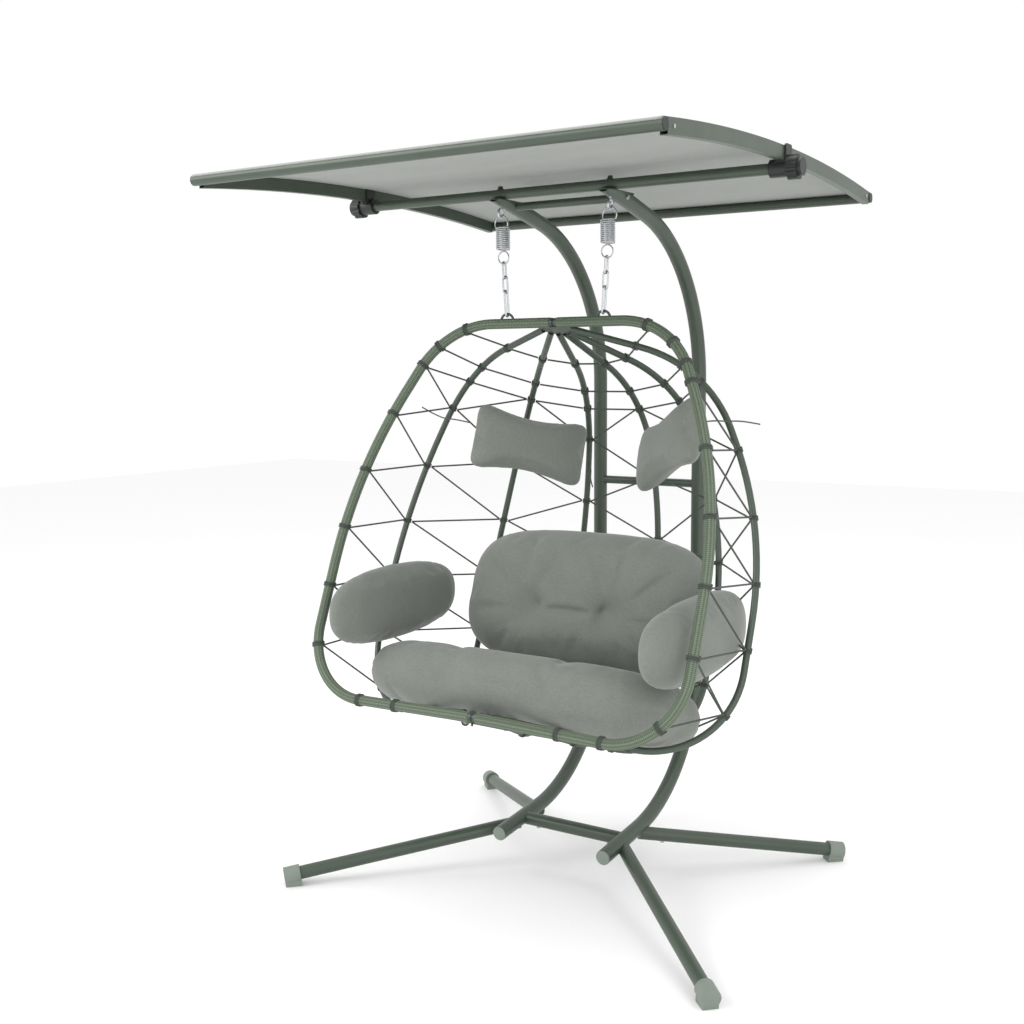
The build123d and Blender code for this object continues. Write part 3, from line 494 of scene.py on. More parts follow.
# ------------------------------------------------------------------ mesh tools
def make_object(name: str, verts: list, faces: list, finish: bpy.types.Material) -> bpy.types.Object:
    """A mesh object at the origin, its faces turned outwards.

    Args:
        name: the piece's name.
        verts: points in the row frame.
        faces: corner lists.
        finish: its material.

    Returns:
        The new object.
    """
    mesh = bpy.data.meshes.new(name)
    mesh.from_pydata([tuple(v) for v in verts], [], faces)
    made = bpy.data.objects.new(name, mesh)
    bpy.context.scene.collection.objects.link(made)
    mesh.materials.append(finish)
    turn_outwards(made)
    return made


def turn_outwards(piece: bpy.types.Object) -> None:
    """Recalculate a mesh's normals and shade it smooth."""
    work = bmesh.new()
    work.from_mesh(piece.data)
    bmesh.ops.remove_doubles(work, verts=work.verts, dist=1e-6)
    bmesh.ops.recalc_face_normals(work, faces=work.faces)
    for face in work.faces:
        face.smooth = True
    work.to_mesh(piece.data)
    work.free()


def plain_copy(node: str, name: str) -> bpy.types.Object:
    """A welded copy of a CAD node's mesh that can be reshaped."""
    made = bpy.data.objects.new(name, frame["nodes"][node].data.copy())
    bpy.context.scene.collection.objects.link(made)
    made.data.materials.clear()
    work = bmesh.new()
    work.from_mesh(made.data)
    bmesh.ops.remove_doubles(work, verts=work.verts, dist=2e-5)
    work.to_mesh(made.data)
    work.free()
    return made


def settle(piece: bpy.types.Object) -> None:
    """Replace a piece's mesh by the result of its modifiers."""
    graph = bpy.context.evaluated_depsgraph_get()
    result = bpy.data.meshes.new_from_object(piece.evaluated_get(graph), preserve_all_data_layers=True,
                                             depsgraph=graph)
    piece.modifiers.clear()
    piece.data = result


# ------------------------------------------------------------------ geometry trees
class GeometryTree:
    """A Geometry Nodes tree with named inputs that dresses one curve or point set."""

    def __init__(self, name: str) -> None:
        """Start a tree with a geometry input and output."""
        self.tree = bpy.data.node_groups.new(name, "GeometryNodeTree")
        self.tree.interface.new_socket("Geometry", in_out="INPUT", socket_type="NodeSocketGeometry")
        self.tree.interface.new_socket("Geometry", in_out="OUTPUT", socket_type="NodeSocketGeometry")
        self.start = self.tree.nodes.new("NodeGroupInput")
        self.end = self.tree.nodes.new("NodeGroupOutput")
        self.identifiers: dict[str, str] = {}

    def number(self, name: str, value: float, whole: bool = False) -> None:
        """Add a named size input."""
        kind = "NodeSocketInt" if whole else "NodeSocketFloat"
        made = self.tree.interface.new_socket(name, in_out="INPUT", socket_type=kind)
        made.default_value = value
        self.identifiers[name] = made.identifier

    def node(self, kind: str, settings: dict, inputs: dict) -> bpy.types.Node:
        """Make a node, with settings first and then its inputs."""
        made = self.tree.nodes.new(kind)
        for key, value in settings.items():
            setattr(made, key, value)
        for key, value in inputs.items():
            if isinstance(value, bpy.types.NodeSocket):
                self.tree.links.new(value, made.inputs[key])
            else:
                made.inputs[key].default_value = value
        return made

    def given(self, name: str) -> bpy.types.NodeSocket:
        """The group input's socket with a name."""
        return self.start.outputs[name]

    def close(self, geometry: bpy.types.NodeSocket, finish: bpy.types.Material) -> None:
        """End the tree in Realize Instances and Set Material."""
        real = self.node("GeometryNodeRealizeInstances", {}, {"Geometry": geometry})
        dressed = self.node("GeometryNodeSetMaterial", {}, {"Geometry": real.outputs[0], "Material": finish})
        self.tree.links.new(dressed.outputs[0], self.end.inputs[0])

    def dress(self, piece: bpy.types.Object, sizes: dict[str, float]) -> bpy.types.Object:
        """Run the tree on a piece and keep the plain mesh.

        Args:
            piece: a curve or mesh object at the origin.
            sizes: input names to values.

        Returns:
            A mesh object with the piece's name.
        """
        modifier = piece.modifiers.new("build", "NODES")
        modifier.node_group = self.tree
        for name, value in sizes.items():
            modifier[self.identifiers[name]] = value
        graph = bpy.context.evaluated_depsgraph_get()
        mesh = bpy.data.meshes.new_from_object(piece.evaluated_get(graph), preserve_all_data_layers=True,
                                               depsgraph=graph)
        name = piece.name
        bpy.data.objects.remove(piece, do_unlink=True)
        made = bpy.data.objects.new(name, mesh)
        bpy.context.scene.collection.objects.link(made)
        return made


def path_curve(name: str, points: list[Vector]) -> bpy.types.Object:
    """A poly curve through points in the row frame."""
    data = bpy.data.curves.new(name, "CURVE")
    data.dimensions = "3D"
    spline = data.splines.new("POLY")
    spline.points.add(len(points) - 1)
    for point, place in zip(spline.points, points):
        point.co = (*place, 1.0)
    made = bpy.data.objects.new(name, data)
    bpy.context.scene.collection.objects.link(made)
    return made


def sleeve_tree(finish: bpy.types.Material) -> GeometryTree:
    """A closed sleeve along a curve that keeps how far along and round it each point is."""
    tree = GeometryTree("wrap_sleeve")
    tree.number("Radius", 0.014)
    tree.number("Sides", 32, whole=True)
    spline = tree.node("GeometryNodeSplineParameter", {}, {})
    stored = tree.node("GeometryNodeStoreNamedAttribute", {"data_type": "FLOAT", "domain": "POINT"},
                       {"Geometry": tree.given("Geometry"), "Name": "run", "Value": spline.outputs["Length"]})
    circle = tree.node("GeometryNodeCurvePrimitiveCircle", {},
                       {"Radius": tree.given("Radius"), "Resolution": tree.given("Sides")})
    round_part = tree.node("GeometryNodeSplineParameter", {}, {})
    marked = tree.node("GeometryNodeStoreNamedAttribute", {"data_type": "FLOAT", "domain": "POINT"},
                       {"Geometry": circle.outputs[0], "Name": "turn", "Value": round_part.outputs["Factor"]})
    mesh = tree.node("GeometryNodeCurveToMesh", {},
                     {"Curve": stored.outputs[0], "Profile Curve": marked.outputs[0], "Fill Caps": True})
    run = tree.node("GeometryNodeInputNamedAttribute", {"data_type": "FLOAT"}, {"Name": "run"})
    turn = tree.node("GeometryNodeInputNamedAttribute", {"data_type": "FLOAT"}, {"Name": "turn"})
    both = tree.node("ShaderNodeCombineXYZ", {}, {"X": run.outputs[0], "Y": turn.outputs[0]})
    joined = tree.node("GeometryNodeStoreNamedAttribute", {"data_type": "FLOAT_VECTOR", "domain": "POINT"},
                       {"Geometry": mesh.outputs[0], "Name": "wrap", "Value": both.outputs[0]})
    smooth = tree.node("GeometryNodeSetShadeSmooth", {}, {"Geometry": joined.outputs[0]})
    tree.close(smooth.outputs[0], finish)
    return tree


def binding_tree(finish: bpy.types.Material) -> GeometryTree:
    """Turns of cord on every point of a point set, each turned to the point's own direction."""
    tree = GeometryTree("cord_binding")
    tree.number("Cord radius", 0.0017)
    tree.number("Turns", 3.0)
    tree.number("Length", 0.012)
    spiral = tree.node("GeometryNodeCurveSpiral", {}, {
        "Resolution": 12, "Rotations": tree.given("Turns"), "Start Radius": 1.0, "End Radius": 1.0,
        "Height": tree.given("Length")})
    profile = tree.node("GeometryNodeCurvePrimitiveCircle", {}, {"Resolution": 6, "Radius": tree.given("Cord radius")})
    size = tree.node("GeometryNodeInputNamedAttribute", {"data_type": "FLOAT"}, {"Name": "ring"})
    way = tree.node("GeometryNodeInputNamedAttribute", {"data_type": "FLOAT_VECTOR"}, {"Name": "way"})
    turned = tree.node("FunctionNodeAlignRotationToVector", {"axis": "Z"}, {"Vector": way.outputs[0]})
    wide = tree.node("ShaderNodeCombineXYZ", {}, {"X": size.outputs[0], "Y": size.outputs[0], "Z": 1.0})
    placed = tree.node("GeometryNodeInstanceOnPoints", {}, {
        "Points": tree.given("Geometry"), "Instance": spiral.outputs[0], "Rotation": turned.outputs[0],
        "Scale": wide.outputs[0]})
    real = tree.node("GeometryNodeRealizeInstances", {}, {"Geometry": placed.outputs[0]})
    mesh = tree.node("GeometryNodeCurveToMesh", {},
                     {"Curve": real.outputs[0], "Profile Curve": profile.outputs[0], "Fill Caps": True})
    smooth = tree.node("GeometryNodeSetShadeSmooth", {}, {"Geometry": mesh.outputs[0]})
    tree.close(smooth.outputs[0], finish)
    return tree


def stitch_tree(finish: bpy.types.Material) -> GeometryTree:
    """A row of short thread stitches along a curve."""
    tree = GeometryTree("stitch_row")
    tree.number("Pitch", 0.006)
    tree.number("Stitch", 0.0042)
    tree.number("Thread", 0.0006)
    points = tree.node("GeometryNodeCurveToPoints", {"mode": "LENGTH"},
                       {"Curve": tree.given("Geometry"), "Length": tree.given("Pitch")})
    thread = tree.node("GeometryNodeMeshCylinder", {}, {
        "Vertices": 6, "Radius": tree.given("Thread"), "Depth": tree.given("Stitch")})
    placed = tree.node("GeometryNodeInstanceOnPoints", {}, {
        "Points": points.outputs["Points"], "Instance": thread.outputs["Mesh"],
        "Rotation": points.outputs["Rotation"]})
    tree.close(placed.outputs[0], finish)
    return tree


# ------------------------------------------------------------------ stand
@dataclass
class Stand:
    """The steel stand, whose shapes come whole from CAD."""

    steel: tuple = ("left_lower_curve", "right_lower_curve", "left_upper_curve", "right_upper_curve",
                    "front_left_leg", "front_right_leg", "back_left_leg", "back_right_leg", "base_cross_tube",
                    "mid_cross_tube", "top_cross_tube", "canopy_beam", "beam_saddles")
    pale: tuple = ("foot_caps", "lower_end_plugs")
    zinc: tuple = ("eye_bolts", "frame_bolts", "canopy_screws", "spring_top_loops", "left_spring_coil",
                   "right_spring_coil", "spring_bottom_loops", "left_chain_links", "right_chain_links",
                   "left_clip", "right_clip")
    black: tuple = ("left_tilt_bracket", "right_tilt_bracket", "left_tilt_knob", "right_tilt_knob",
                    "canopy_end_caps", "beam_end_nuts", "eye_bolt_nuts", "rim_joiners")
    basket_steel: tuple = ("left_basket_rim", "right_basket_rim", "side_basket_ribs", "middle_basket_ribs",
                           "rear_basket_ribs", "basket_hubs", "rim_eyes")
    canopy_steel: tuple = ("left_canopy_arm", "right_canopy_arm", "canopy_front_tube", "canopy_rear_tube")

    def dress(self, finishes: dict[str, bpy.types.Material]) -> None:
        """Give every CAD piece its finish.

        Args:
            finishes: finish name to material.
        """
        groups = ((self.steel + self.basket_steel + self.canopy_steel, "steel"), (self.pale, "pale"),
                  (self.zinc, "zinc"), (self.black, "black"),
                  (("left_net_cords", "middle_net_cords", "right_net_cords"), "cord"))
        for names, finish in groups:
            for name in names:
                mesh = frame["nodes"][name].data
                if mesh.materials:
                    for index in range(len(mesh.materials)):
                        mesh.materials[index] = finishes[finish]
                else:
                    mesh.materials.append(finishes[finish])
            log.info("%s pieces in %s", len(names), finish)


# ------------------------------------------------------------------ basket
@dataclass
class RimWrap:
    """The braided wrap on both halves of the rim. The cord turns at every crossing of the net are made in NetBindings.
    """

    radius: float = 0.014
    start: float = 0.012
    shoulder: float = 0.357
    half_width: float = 0.567
    hip: float = 0.450
    foot: float = 1.094
    middle: float = 1.084
    bends: tuple = (0.240, 1.250, 0.190)
    step: float = 0.008

    def centre_line(self, side: Side) -> list[Vector]:
        """Points along one half of the rim.

        Args:
            side: which half.

        Returns:
            Evenly spaced points in the row frame.
        """
        sign = side.value
        corners = [(self.start, 0.0), (self.shoulder, 0.0), (self.half_width, self.hip),
                   (self.half_width, self.foot), (self.start, self.middle)]
        points = [Vector((*corners[0], 0.0))]
        for index, bend in enumerate(self.bends, start=1):
            before, corner, after = (Vector((*corners[index + move], 0.0)) for move in (-1, 0, 1))
            into, out = (corner - before).normalized(), (after - corner).normalized()
            half = into.angle(out) / 2
            reach = bend * math.tan(half)
            inward = (out - into).normalized()
            centre = corner + inward * (bend / math.cos(half))
            first = corner - into * reach
            count = max(4, int(2 * half * bend / self.step))
            spin = 1.0 if into.cross(out).z > 0 else -1.0
            for turn in range(count + 1):
                share = 2 * half * turn / count
                points.append(centre + Matrix.Rotation(spin * share, 3, "Z") @ (first - centre))
        points.append(Vector((*corners[-1], 0.0)))
        even = [points[0]]
        for here, there in zip(points, points[1:]):
            count = max(1, round((there - here).length / self.step))
            even += [here.lerp(there, part / count) for part in range(1, count + 1)]
        return [at(sign * p.x, p.y, 0.0) for p in even]

    def build(self, wrap: bpy.types.Material) -> None:
        """Make the wrap on both halves."""
        tree = sleeve_tree(wrap)
        made = []
        for side in Side:
            curve = path_curve(f"{side.name.lower()}_rim_wrap", self.centre_line(side))
            piece = tree.dress(curve, {"Radius": self.radius, "Sides": 32})
            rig.ride(piece, "basket")
            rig.slot(piece, "leaf_wrap")
            made.append(piece)
            log.info("%s with %d faces", piece.name, len(piece.data.polygons))
        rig.replaces(made[0], "rim_wraps")


@dataclass
class NetBindings:
    """Turns of cord that tie the net to the rim and the ribs."""

    cord: float = 0.0019
    rim_ring: float = 0.0162
    rib_ring: float = 0.0108
    length: float = 0.013

    def stations(self) -> tuple[list[Vector], list[Vector], list[float]]:
        """Where each binding sits, from the separate solids of its CAD node.

        Returns:
            Centres, directions and radii.
        """
        work = bmesh.new()
        work.from_mesh(frame["nodes"]["net_bindings"].data)
        bmesh.ops.remove_doubles(work, verts=work.verts, dist=2e-5)
        work.verts.ensure_lookup_table()
        seen: set[int] = set()
        centres, ways, radii = [], [], []
        for vert in work.verts:
            if vert.index in seen:
                continue
            island, queue = [], [vert]
            seen.add(vert.index)
            while queue:
                here = queue.pop()
                island.append(here)
                for edge in here.link_edges:
                    other = edge.other_vert(here)
                    if other.index not in seen:
                        seen.add(other.index)
                        queue.append(other)
            faces = {face for item in island for face in item.link_faces}
            spread = np.zeros((3, 3))
            for face in faces:
                normal = np.array(face.normal)
                spread += np.outer(normal, normal) * face.calc_area()
            values, vectors = np.linalg.eigh(spread)
            odd = 0 if values[1] - values[0] > values[2] - values[1] else 2
            way = Vector(vectors[:, odd])
            middle = sum((item.co for item in island), Vector()) / len(island)
            reach = max(((item.co - middle) - way * (item.co - middle).dot(way)).length for item in island)
            centres.append(middle)
            ways.append(way)
            radii.append(self.rim_ring if reach > 0.0165 else self.rib_ring)
        work.free()
        return centres, ways, radii

    def build(self, cord: bpy.types.Material) -> None:
        """Make the cord turns."""
        centres, ways, radii = self.stations()
        mesh = bpy.data.meshes.new("cord_bindings")
        mesh.from_pydata([tuple(c - w * self.length / 2) for c, w in zip(centres, ways)], [], [])
        mesh.attributes.new("way", "FLOAT_VECTOR", "POINT")
        mesh.attributes.new("ring", "FLOAT", "POINT")
        way, ring = mesh.attributes["way"], mesh.attributes["ring"]
        for index, (direction, radius) in enumerate(zip(ways, radii)):
            way.data[index].vector = direction
            ring.data[index].value = radius
        points = bpy.data.objects.new("cord_bindings", mesh)
        bpy.context.scene.collection.objects.link(points)
        made = binding_tree(cord).dress(points, {"Cord radius": self.cord, "Turns": 3.0, "Length": self.length})
        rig.ride(made, "basket")
        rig.slot(made, "net_cord")
        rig.replaces(made, "net_bindings")
        log.info("%d cord bindings with %d faces", len(centres), len(made.data.polygons))


# ------------------------------------------------------------------ cushions
@dataclass
class Form:
    """A stuffed form: a rounded outline whose two faces meet in a seam."""

    centre: tuple
    half: tuple
    wide: Vector = field(default_factory=lambda: Vector(ACROSS))
    long: Vector = field(default_factory=lambda: Vector(DOWN))
    corner: float = 4.0
    edge: float = 4.0
    crown: float = 2.0
    waist: float = 0.0
    bend: float = 0.0
    cells: int = 40

    def make(self, name: str, cloth: bpy.types.Material) -> bpy.types.Object:
        """Make the closed form.

        Args:
            name: the object's name.
            cloth: its material.

        Returns:
            The new object.
        """
        thick = self.wide.cross(self.long).normalized()
        centre = at(*self.centre)
        verts, faces = [], []
        span = self.cells + 1
        for face in (1.0, -1.0):
            for row in range(span):
                for column in range(span):
                    a, b = 2 * column / self.cells - 1, 2 * row / self.cells - 1
                    reach = max(abs(a), abs(b), 1e-6)
                    norm = (abs(a / reach) ** self.corner + abs(b / reach) ** self.corner) ** (1 / self.corner)
                    norm = max(norm, 1e-6)
                    u, v = a / norm, b / norm
                    v *= 1.0 - self.waist * math.cos(math.pi * u / 2) ** 2
                    rise = max(0.0, 1 - reach ** self.edge) ** (1 / self.crown)
                    spot = centre + self.wide * (u * self.half[0]) + self.long * (v * self.half[1])
                    spot += thick * (face * rise * self.half[2] + self.bend * u * u)
                    verts.append(spot)
        for face in range(2):
            first = face * span * span
            for row in range(self.cells):
                for column in range(self.cells):
                    corner = first + row * span + column
                    loop = (corner, corner + 1, corner + span + 1, corner + span)
                    faces.append(loop if face == 0 else tuple(reversed(loop)))
        made = make_object(name, verts, faces, cloth)
        work = bmesh.new()
        work.from_mesh(made.data)
        bmesh.ops.remove_doubles(work, verts=work.verts, dist=1e-5)
        work.to_mesh(made.data)
        work.free()
        return made


@dataclass
class Cushion:
    """One stuffed cushion that stands in for its CAD part: a rounded form swelled as cloth, then tufted and creased.
    """

    node: str
    fill: float
    voxel: float
    pressure: float = 4.0
    cap: float = 0.018
    tufts: tuple = ()
    tuft_depth: float = 0.045
    tuft_width: float = 0.05
    creases: tuple = ()
    crease_depth: float = 0.012
    crease_width: float = 0.016
    seam_depth: float = 0.006
    seams: tuple = ()
    form: object = None
    piece: bpy.types.Object = field(default=None, repr=False)
    rest: np.ndarray = field(default=None, repr=False)

    def start(self, cloth: bpy.types.Material) -> None:
        """Remesh the stuffed form and give it cloth."""
        self.piece = self.form.make(f"{self.node}_cover", cloth)
        remesh = self.piece.modifiers.new("remesh", "REMESH")
        remesh.mode = "VOXEL"
        remesh.voxel_size = self.voxel
        settle(self.piece)
        smooth = self.piece.modifiers.new("round", "SMOOTH")
        smooth.iterations = 6
        smooth.factor = 0.5
        settle(self.piece)
        self.piece.data.materials.clear()
        self.piece.data.materials.append(cloth)
        self.rest = self.points()
        stuffing = self.piece.modifiers.new("cloth", "CLOTH")
        stuffing.settings.quality = 4
        stuffing.settings.mass = 0.3
        stuffing.settings.tension_stiffness = 12
        stuffing.settings.compression_stiffness = 4
        stuffing.settings.shear_stiffness = 4
        stuffing.settings.bending_stiffness = 0.4
        stuffing.settings.use_pressure = True
        stuffing.settings.uniform_pressure_force = self.pressure
        stuffing.settings.effector_weights.gravity = 0.0
        stuffing.collision_settings.use_collision = False
        stuffing.point_cache.frame_start = 1
        stuffing.point_cache.frame_end = 20

    def points(self) -> np.ndarray:
        """The mesh's points as an array."""
        flat = np.zeros(len(self.piece.data.vertices) * 3)
        self.piece.data.vertices.foreach_get("co", flat)
        return flat.reshape(-1, 3)

    def finish(self) -> None:
        """Keep the swelled shape, cap it, sew it and put it in the basket."""
        settle(self.piece)
        moved = self.points()
        step = moved - self.rest
        length = np.linalg.norm(step, axis=1, keepdims=True)
        swelled = self.rest + step * (self.cap / np.maximum(self.cap, length))
        swelled = self.sewn(swelled)
        self.piece.data.vertices.foreach_set("co", swelled.ravel())
        self.piece.data.update()
        soft = self.piece.modifiers.new("smooth", "SUBSURF")
        soft.levels = 1
        soft.render_levels = 1
        settle(self.piece)
        for polygon in self.piece.data.polygons:
            polygon.use_smooth = True
        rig.ride(self.piece, "basket")
        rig.slot(self.piece, "melange_fabric")
        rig.replaces(self.piece, self.node)
        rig.padded(self.piece, fill=self.fill)
        log.info("%s with %d faces", self.piece.name, len(self.piece.data.polygons))

    def sewn(self, points: np.ndarray) -> np.ndarray:
        """Press the tufts, creases and seams into the cover.

        Args:
            points: the cover's points.

        Returns:
            The points after sewing.
        """
        middle = points.mean(axis=0)
        out = points - middle
        out /= np.maximum(np.linalg.norm(out, axis=1, keepdims=True), 1e-6)
        press = np.zeros(len(points))
        for tuft in self.tufts:
            away = np.linalg.norm(points - np.array(tuft), axis=1)
            press = np.maximum(press, self.tuft_depth * np.exp(-((away / self.tuft_width) ** 1.3)))
        for start, end in self.creases:
            first, last = np.array(start), np.array(end)
            run = last - first
            share = np.clip(((points - first) @ run) / (run @ run), 0.0, 1.0)
            away = np.linalg.norm(points - (first + share[:, None] * run), axis=1)
            deep = self.crease_depth * (1.0 - 0.75 * share)
            press = np.maximum(press, deep * np.exp(-((away / self.crease_width) ** 2)))
        for normal, offset in self.seams:
            away = np.abs(points @ np.array(normal) - offset)
            press = np.maximum(press, self.seam_depth * np.exp(-((away / 0.006) ** 2)))
        return points - out * press[:, None]


@dataclass
class Cushions:
    """The seat, back and arm cushions and the two head pillows."""

    frames: int = 20

    def tuft_creases(self, tuft: Vector, ends: list[Vector]) -> list[tuple]:
        """Creases that run out from one tuft."""
        return [(tuple(tuft), tuple(end)) for end in ends]

    def plan(self) -> list[Cushion]:
        """Describe each cushion in basket sizes."""
        left_tuft, right_tuft = at(-0.155, 0.735, 0.352), at(0.165, 0.735, 0.352)
        back_creases = [(tuple(left_tuft), tuple(right_tuft)), (tuple(right_tuft), tuple(left_tuft))]
        for tuft, way in ((left_tuft, -1), (right_tuft, 1)):
            spots = [(way * 0.24, 0.02), (way * 0.16, -0.16), (0.0, -0.22), (-way * 0.10, -0.17), (0.0, 0.16),
                     (way * 0.13, 0.12)]
            back_creases += self.tuft_creases(tuft, [tuft + ACROSS * x + DOWN * s for x, s in spots])
        seat_creases = []
        for x in (-0.175, 0.175):
            front = at(x, 0.985, 0.028)
            seat_creases += [(tuple(front), tuple(at(x, 0.905, 0.10))), (tuple(at(x, 0.903, 0.10)),
                             tuple(at(x * 0.95, 0.903, 0.42))), (tuple(front), tuple(at(x, 1.06, 0.04)))]
            seat_creases += [(tuple(front), tuple(at(x + move, 0.915, 0.06))) for move in (-0.05, 0.05)]
        seat_tufts = tuple(tuple(at(x, 0.985, 0.028)) for x in (-0.175, 0.175))
        down = tuple(DOWN)
        seam = DOWN.dot(at(0, 0.985, 0))
        made = [
            Cushion("seat_cushion", 0.65, 0.012, cap=0.014, tufts=seat_tufts, tuft_depth=0.028, tuft_width=0.040,
                    creases=tuple(seat_creases), crease_depth=0.024, crease_width=0.020, seams=((down, seam),),
                    form=Form((0.0, 0.982, 0.247), (0.492, 0.222, 0.077), long=BEHIND, corner=3.6, edge=9.0,
                              crown=2.6)),
            Cushion("back_cushion", 0.7, 0.012, cap=0.016, tufts=(tuple(left_tuft), tuple(right_tuft)),
                    tuft_depth=0.075, tuft_width=0.060, creases=tuple(back_creases), crease_depth=0.038,
                    crease_width=0.018,
                    form=Form((0.0, 0.675, 0.456), (0.405, 0.222, 0.098), corner=3.2, edge=4.5, crown=2.2)),
        ]
        for side in Side:
            axis = (BEHIND * 0.928 - DOWN * 0.371).normalized()
            low = (DOWN * 0.928 + BEHIND * 0.371).normalized()
            made.append(Cushion(
                f"{side.name.lower()}_arm_cushion", 0.7, 0.009, cap=0.010,
                form=Form((side.value * 0.484, 0.782, 0.196), (0.298, 0.120, 0.050), wide=axis, long=low,
                          corner=2.5, edge=3.0, crown=1.9, bend=side.value * 0.012)))
        for side, place, yaw, lean in ((Side.LEFT, (-0.195, 0.257, 0.300), 42.0, 2.0),
                                       (Side.RIGHT, (0.290, 0.262, 0.238), 42.0, 6.0)):
            yaw, lean = math.radians(yaw), math.radians(lean)
            flat = ACROSS * math.cos(yaw) - BEHIND * (math.sin(yaw) * side.value)
            wide = flat * math.cos(lean) - DOWN * math.sin(lean)
            low = DOWN * math.cos(lean) + flat * math.sin(lean)
            made.append(Cushion(
                f"{side.name.lower()}_head_pillow", 0.6, 0.007, cap=0.008,
                form=Form(place, (0.177, 0.103, 0.040), wide=wide, long=low, corner=9.0, edge=2.6, crown=2.0,
                          waist=0.16)))
        return made

    def build(self, cloth: bpy.types.Material) -> None:
        """Swell all the cushions together and finish each."""
        made = self.plan()
        for cushion in made:
            cushion.start(cloth)
        scene = bpy.context.scene
        scene.frame_start, scene.frame_end = 1, self.frames
        for number in range(1, self.frames + 1):
            scene.frame_set(number)
        for cushion in made:
            cushion.finish()
        scene.frame_set(1)


# ------------------------------------------------------------------ canopy
@dataclass
class CanopyCloth:
    """One stretched sheet over the arms, with a pocket round the front and rear tubes."""

    half_width: float = 0.651
    reach: float = 0.672
    tube: float = 0.014
    tube_z: float = 1.950
    mid_z: float = 2.0005
    end_z: float = 1.9642
    sag: float = 0.005
    thickness: float = 0.0012
    columns: int = 96
    rows: int = 120
    hem: float = 0.045

    def profile(self) -> list[tuple[float, float]]:
        """Side view of the sheet from the front pocket over the top to the rear pocket."""
        radius = (self.reach ** 2 + (self.mid_z - self.end_z) ** 2) / (2 * (self.mid_z - self.end_z))
        ring = self.tube + 0.0006
        arc = []
        for step in range(self.rows + 1):
            y = -self.reach + 2 * self.reach * step / self.rows
            arc.append((y, self.mid_z - radius + math.sqrt(radius ** 2 - y ** 2)))
        pocket = []
        for step in range(5):
            turn = math.radians(90 + 15 * step)
            pocket.append((-self.reach + ring * math.cos(turn), self.tube_z + ring * math.sin(turn)))
        rear = [(-y, z) for y, z in pocket]
        return list(reversed(pocket)) + arc[2:-2] + rear

    def build(self, cloth: bpy.types.Material, thread: bpy.types.Material) -> None:
        """Make the sheet, its hems and its stitches."""
        side_view = self.profile()
        verts, faces = [], []
        for y, z in side_view:
            for column in range(self.columns + 1):
                x = -self.half_width + 2 * self.half_width * column / self.columns
                inner = max(0.0, 1 - (x / (self.half_width - 0.025)) ** 2)
                open_y = max(0.0, 1 - (y / (self.reach - 0.03)) ** 2)
                ripple = 0.0026 * math.sin(y * 31 + 1.2 * math.sin(x * 3.1)) * inner
                verts.append(Vector((x, y, z - self.sag * inner * open_y + ripple * open_y)))
        wide = self.columns + 1
        for row in range(len(side_view) - 1):
            for column in range(self.columns):
                corner = row * wide + column
                faces.append((corner, corner + 1, corner + wide + 1, corner + wide))
        sheet = make_object("canopy_sheet", verts, faces, cloth)
        solid = sheet.modifiers.new("thickness", "SOLIDIFY")
        solid.thickness = self.thickness
        solid.offset = 0.0
        settle(sheet)
        length = sum(math.dist(a, b) for a, b in zip(side_view, side_view[1:]))
        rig.ride(sheet, "canopy")
        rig.slot(sheet, "canopy_cloth")
        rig.replaces(sheet, "canopy_fabric")
        rows = []
        tree = stitch_tree(thread)
        for y in (-self.reach + self.hem, self.reach - self.hem):
            z = min(side_view, key=lambda spot: abs(spot[0] - y) - (spot[1] - 1.9) * 0.2)[1]
            points = [Vector((x / 100 * (self.half_width - 0.03), y, z - self.sag * 0.0 + 0.0008))
                      for x in range(-100, 101, 4)]
            place = "front" if y < 0 else "rear"
            row = tree.dress(path_curve(f"canopy_{place}_stitches", points),
                             {"Pitch": 0.006, "Stitch": 0.0042, "Thread": 0.0006})
            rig.ride(row, "canopy")
            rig.slot(row, "canopy_cloth")
            rows.append(row)
        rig.sheet(sheet, flat=(2 * self.half_width, length), held="stretched",
                 rests_on=["left_canopy_arm", "right_canopy_arm"], with_pieces=rows)
        log.info("canopy sheet %.3f by %.3f m", 2 * self.half_width, length)


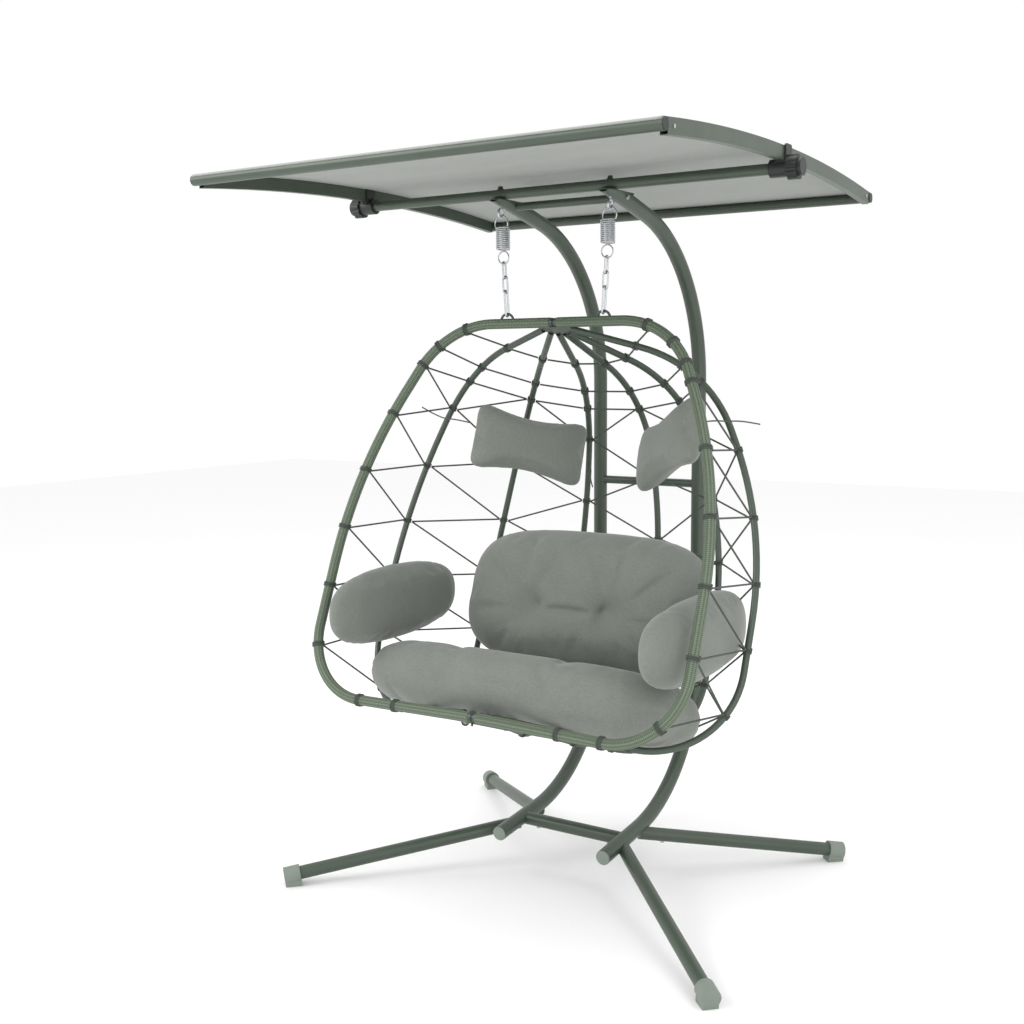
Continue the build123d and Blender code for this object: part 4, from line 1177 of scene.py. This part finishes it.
# ------------------------------------------------------------------ ties
@dataclass
class PillowTies:
    """Narrow tapes that tie the head pillows to the ribs."""

    width: float = 0.004
    routes: tuple = (
        ("left_outer_tie", ((-333, 233, 176), (-384, 225, 171), (-436, 218, 186), (-470, 206, 204),
                            (-500, 196, 198), (-524, 186, 178))),
        ("left_inner_tie", ((-57, 262, 424), (-60, 273, 451), (-74, 285, 480), (-90, 292, 512), (-96, 306, 544))),
        ("right_outer_tie", ((428, 237, 116), (457, 225, 136), (469, 213, 177), (496, 204, 196),
                             (520, 198, 226), (528, 190, 260))),
    )

    def build(self, tape: bpy.types.Material) -> None:
        """Make each tie as a cord on its route."""
        for name, route in self.routes:
            points = [at(*(part / 1000 for part in step)) for step in route]
            data = bpy.data.curves.new(f"{name}_tape", "CURVE")
            data.dimensions = "3D"
            data.bevel_depth = self.width / 2
            data.bevel_resolution = 3
            data.resolution_u = 16
            data.use_fill_caps = True
            spline = data.splines.new("NURBS")
            spline.points.add(len(points) - 1)
            for point, place in zip(spline.points, points):
                point.co = (*place, 1.0)
            spline.order_u = 3
            spline.use_endpoint_u = True
            data.materials.append(tape)
            made = bpy.data.objects.new(f"{name}_tape", data)
            bpy.context.scene.collection.objects.link(made)
            bpy.context.view_layer.update()
            graph = bpy.context.evaluated_depsgraph_get()
            plain = data.copy()
            plain.bevel_depth = 0.0
            probe = bpy.data.objects.new("probe", plain)
            bpy.context.scene.collection.objects.link(probe)
            bpy.context.view_layer.update()
            line = bpy.data.meshes.new_from_object(probe.evaluated_get(bpy.context.evaluated_depsgraph_get()))
            length = sum((line.vertices[a].co - line.vertices[b].co).length for a, b in (e.vertices for e in line.edges))
            bpy.data.objects.remove(probe, do_unlink=True)
            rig.ride(made, "basket")
            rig.slot(made, "dark_tape")
            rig.replaces(made, name)
            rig.cord(made, exit=tuple(points[0]), length=length, diameter=self.width, far_end="bare",
                    stiffness="limp", lay="hanging")
            log.info("%s %.3f m long", name, length)


# ------------------------------------------------------------------ studio
@dataclass
class Studio:
    """Pale floor, soft light and the camera."""

    place: tuple = (1.747, -2.940, 1.484)
    yaw: float = 32.71
    pitch: float = 6.77
    roll: float = -0.41
    lens: float = 43.66

    def build(self) -> None:
        """Make the floor, the lights and the camera."""
        floor_finish = Shader("pale_floor")
        floor_finish.surface.inputs["Base Color"].default_value = (0.95, 0.95, 0.95, 1.0)
        floor_finish.surface.inputs["Roughness"].default_value = 0.9
        floor_finish.surface.inputs["Specular IOR Level"].default_value = 0.1
        floor = make_object("floor", [(-12, -12, 0), (12, -12, 0), (12, 12, 0), (-12, 12, 0)], [(0, 1, 2, 3)],
                            floor_finish.material)
        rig.stage(floor)
        scene = bpy.context.scene
        scene.world = bpy.data.worlds.new("studio")
        scene.world.use_nodes = True
        sky = scene.world.node_tree.nodes["Background"]
        sky.inputs[0].default_value = (1.0, 1.0, 1.0, 1.0)
        sky.inputs[1].default_value = 1.0
        for name, place, power, size in (("key", (-2.6, -3.4, 3.6), 100, 2.5), ("fill", (3.6, -2.2, 2.2), 42, 3.0),
                                         ("top", (0.3, 0.5, 4.6), 65, 3.5)):
            light = bpy.data.lights.new(name, "AREA")
            light.energy = power
            light.size = size
            lamp = bpy.data.objects.new(name, light)
            lamp.location = place
            lamp.rotation_euler = (Vector((0, 0, 1.1)) - Vector(place)).to_track_quat("-Z", "Y").to_euler()
            scene.collection.objects.link(lamp)
        scene.view_settings.view_transform = "Standard"
        camera = bpy.data.objects.new("camera", bpy.data.cameras.new("camera"))
        camera.data.lens = self.lens
        camera.data.sensor_width = 36.0
        yaw, pitch = math.radians(self.yaw), math.radians(self.pitch)
        look = Vector((-math.sin(yaw) * math.cos(pitch), math.cos(yaw) * math.cos(pitch), -math.sin(pitch)))
        turned = look.to_track_quat("-Z", "Y").to_matrix() @ Matrix.Rotation(math.radians(self.roll), 3, "Z")
        camera.rotation_euler = turned.to_euler()
        camera.location = self.place
        scene.collection.objects.link(camera)
        scene.camera = camera
        log.info("studio ready")


def main() -> None:
    """Build and dress the swing."""
    write_bounds("cad")
    cushion_cloth = MelangeCloth("cushion_cloth", grey(94, 99, 93), grey(139, 143, 136),
                                 up=tuple(-DOWN)).make()
    finishes = {
        "steel": PowderCoat().make(),
        "pale": MouldedPlastic("grey_green_plastic", grey(128, 138, 128)).make(),
        "black": MouldedPlastic("black_plastic", grey(34, 36, 36), 0.4).make(),
        "zinc": ZincPlate().make(),
        "cord": TwistedCord().make(),
    }
    Stand().dress(finishes)
    RimWrap().build(BraidedWrap().make())
    NetBindings().build(finishes["cord"])
    Cushions().build(cushion_cloth)
    canopy = MelangeCloth("canopy_cloth", grey(122, 126, 121), grey(162, 166, 160), up=(0.0, 1.0, 0.0)).make()
    CanopyCloth().build(canopy, canopy)
    PillowTies().build(finishes["cord"])
    Studio().build()
    write_bounds("finished")


if __name__ == "__main__":
    main()
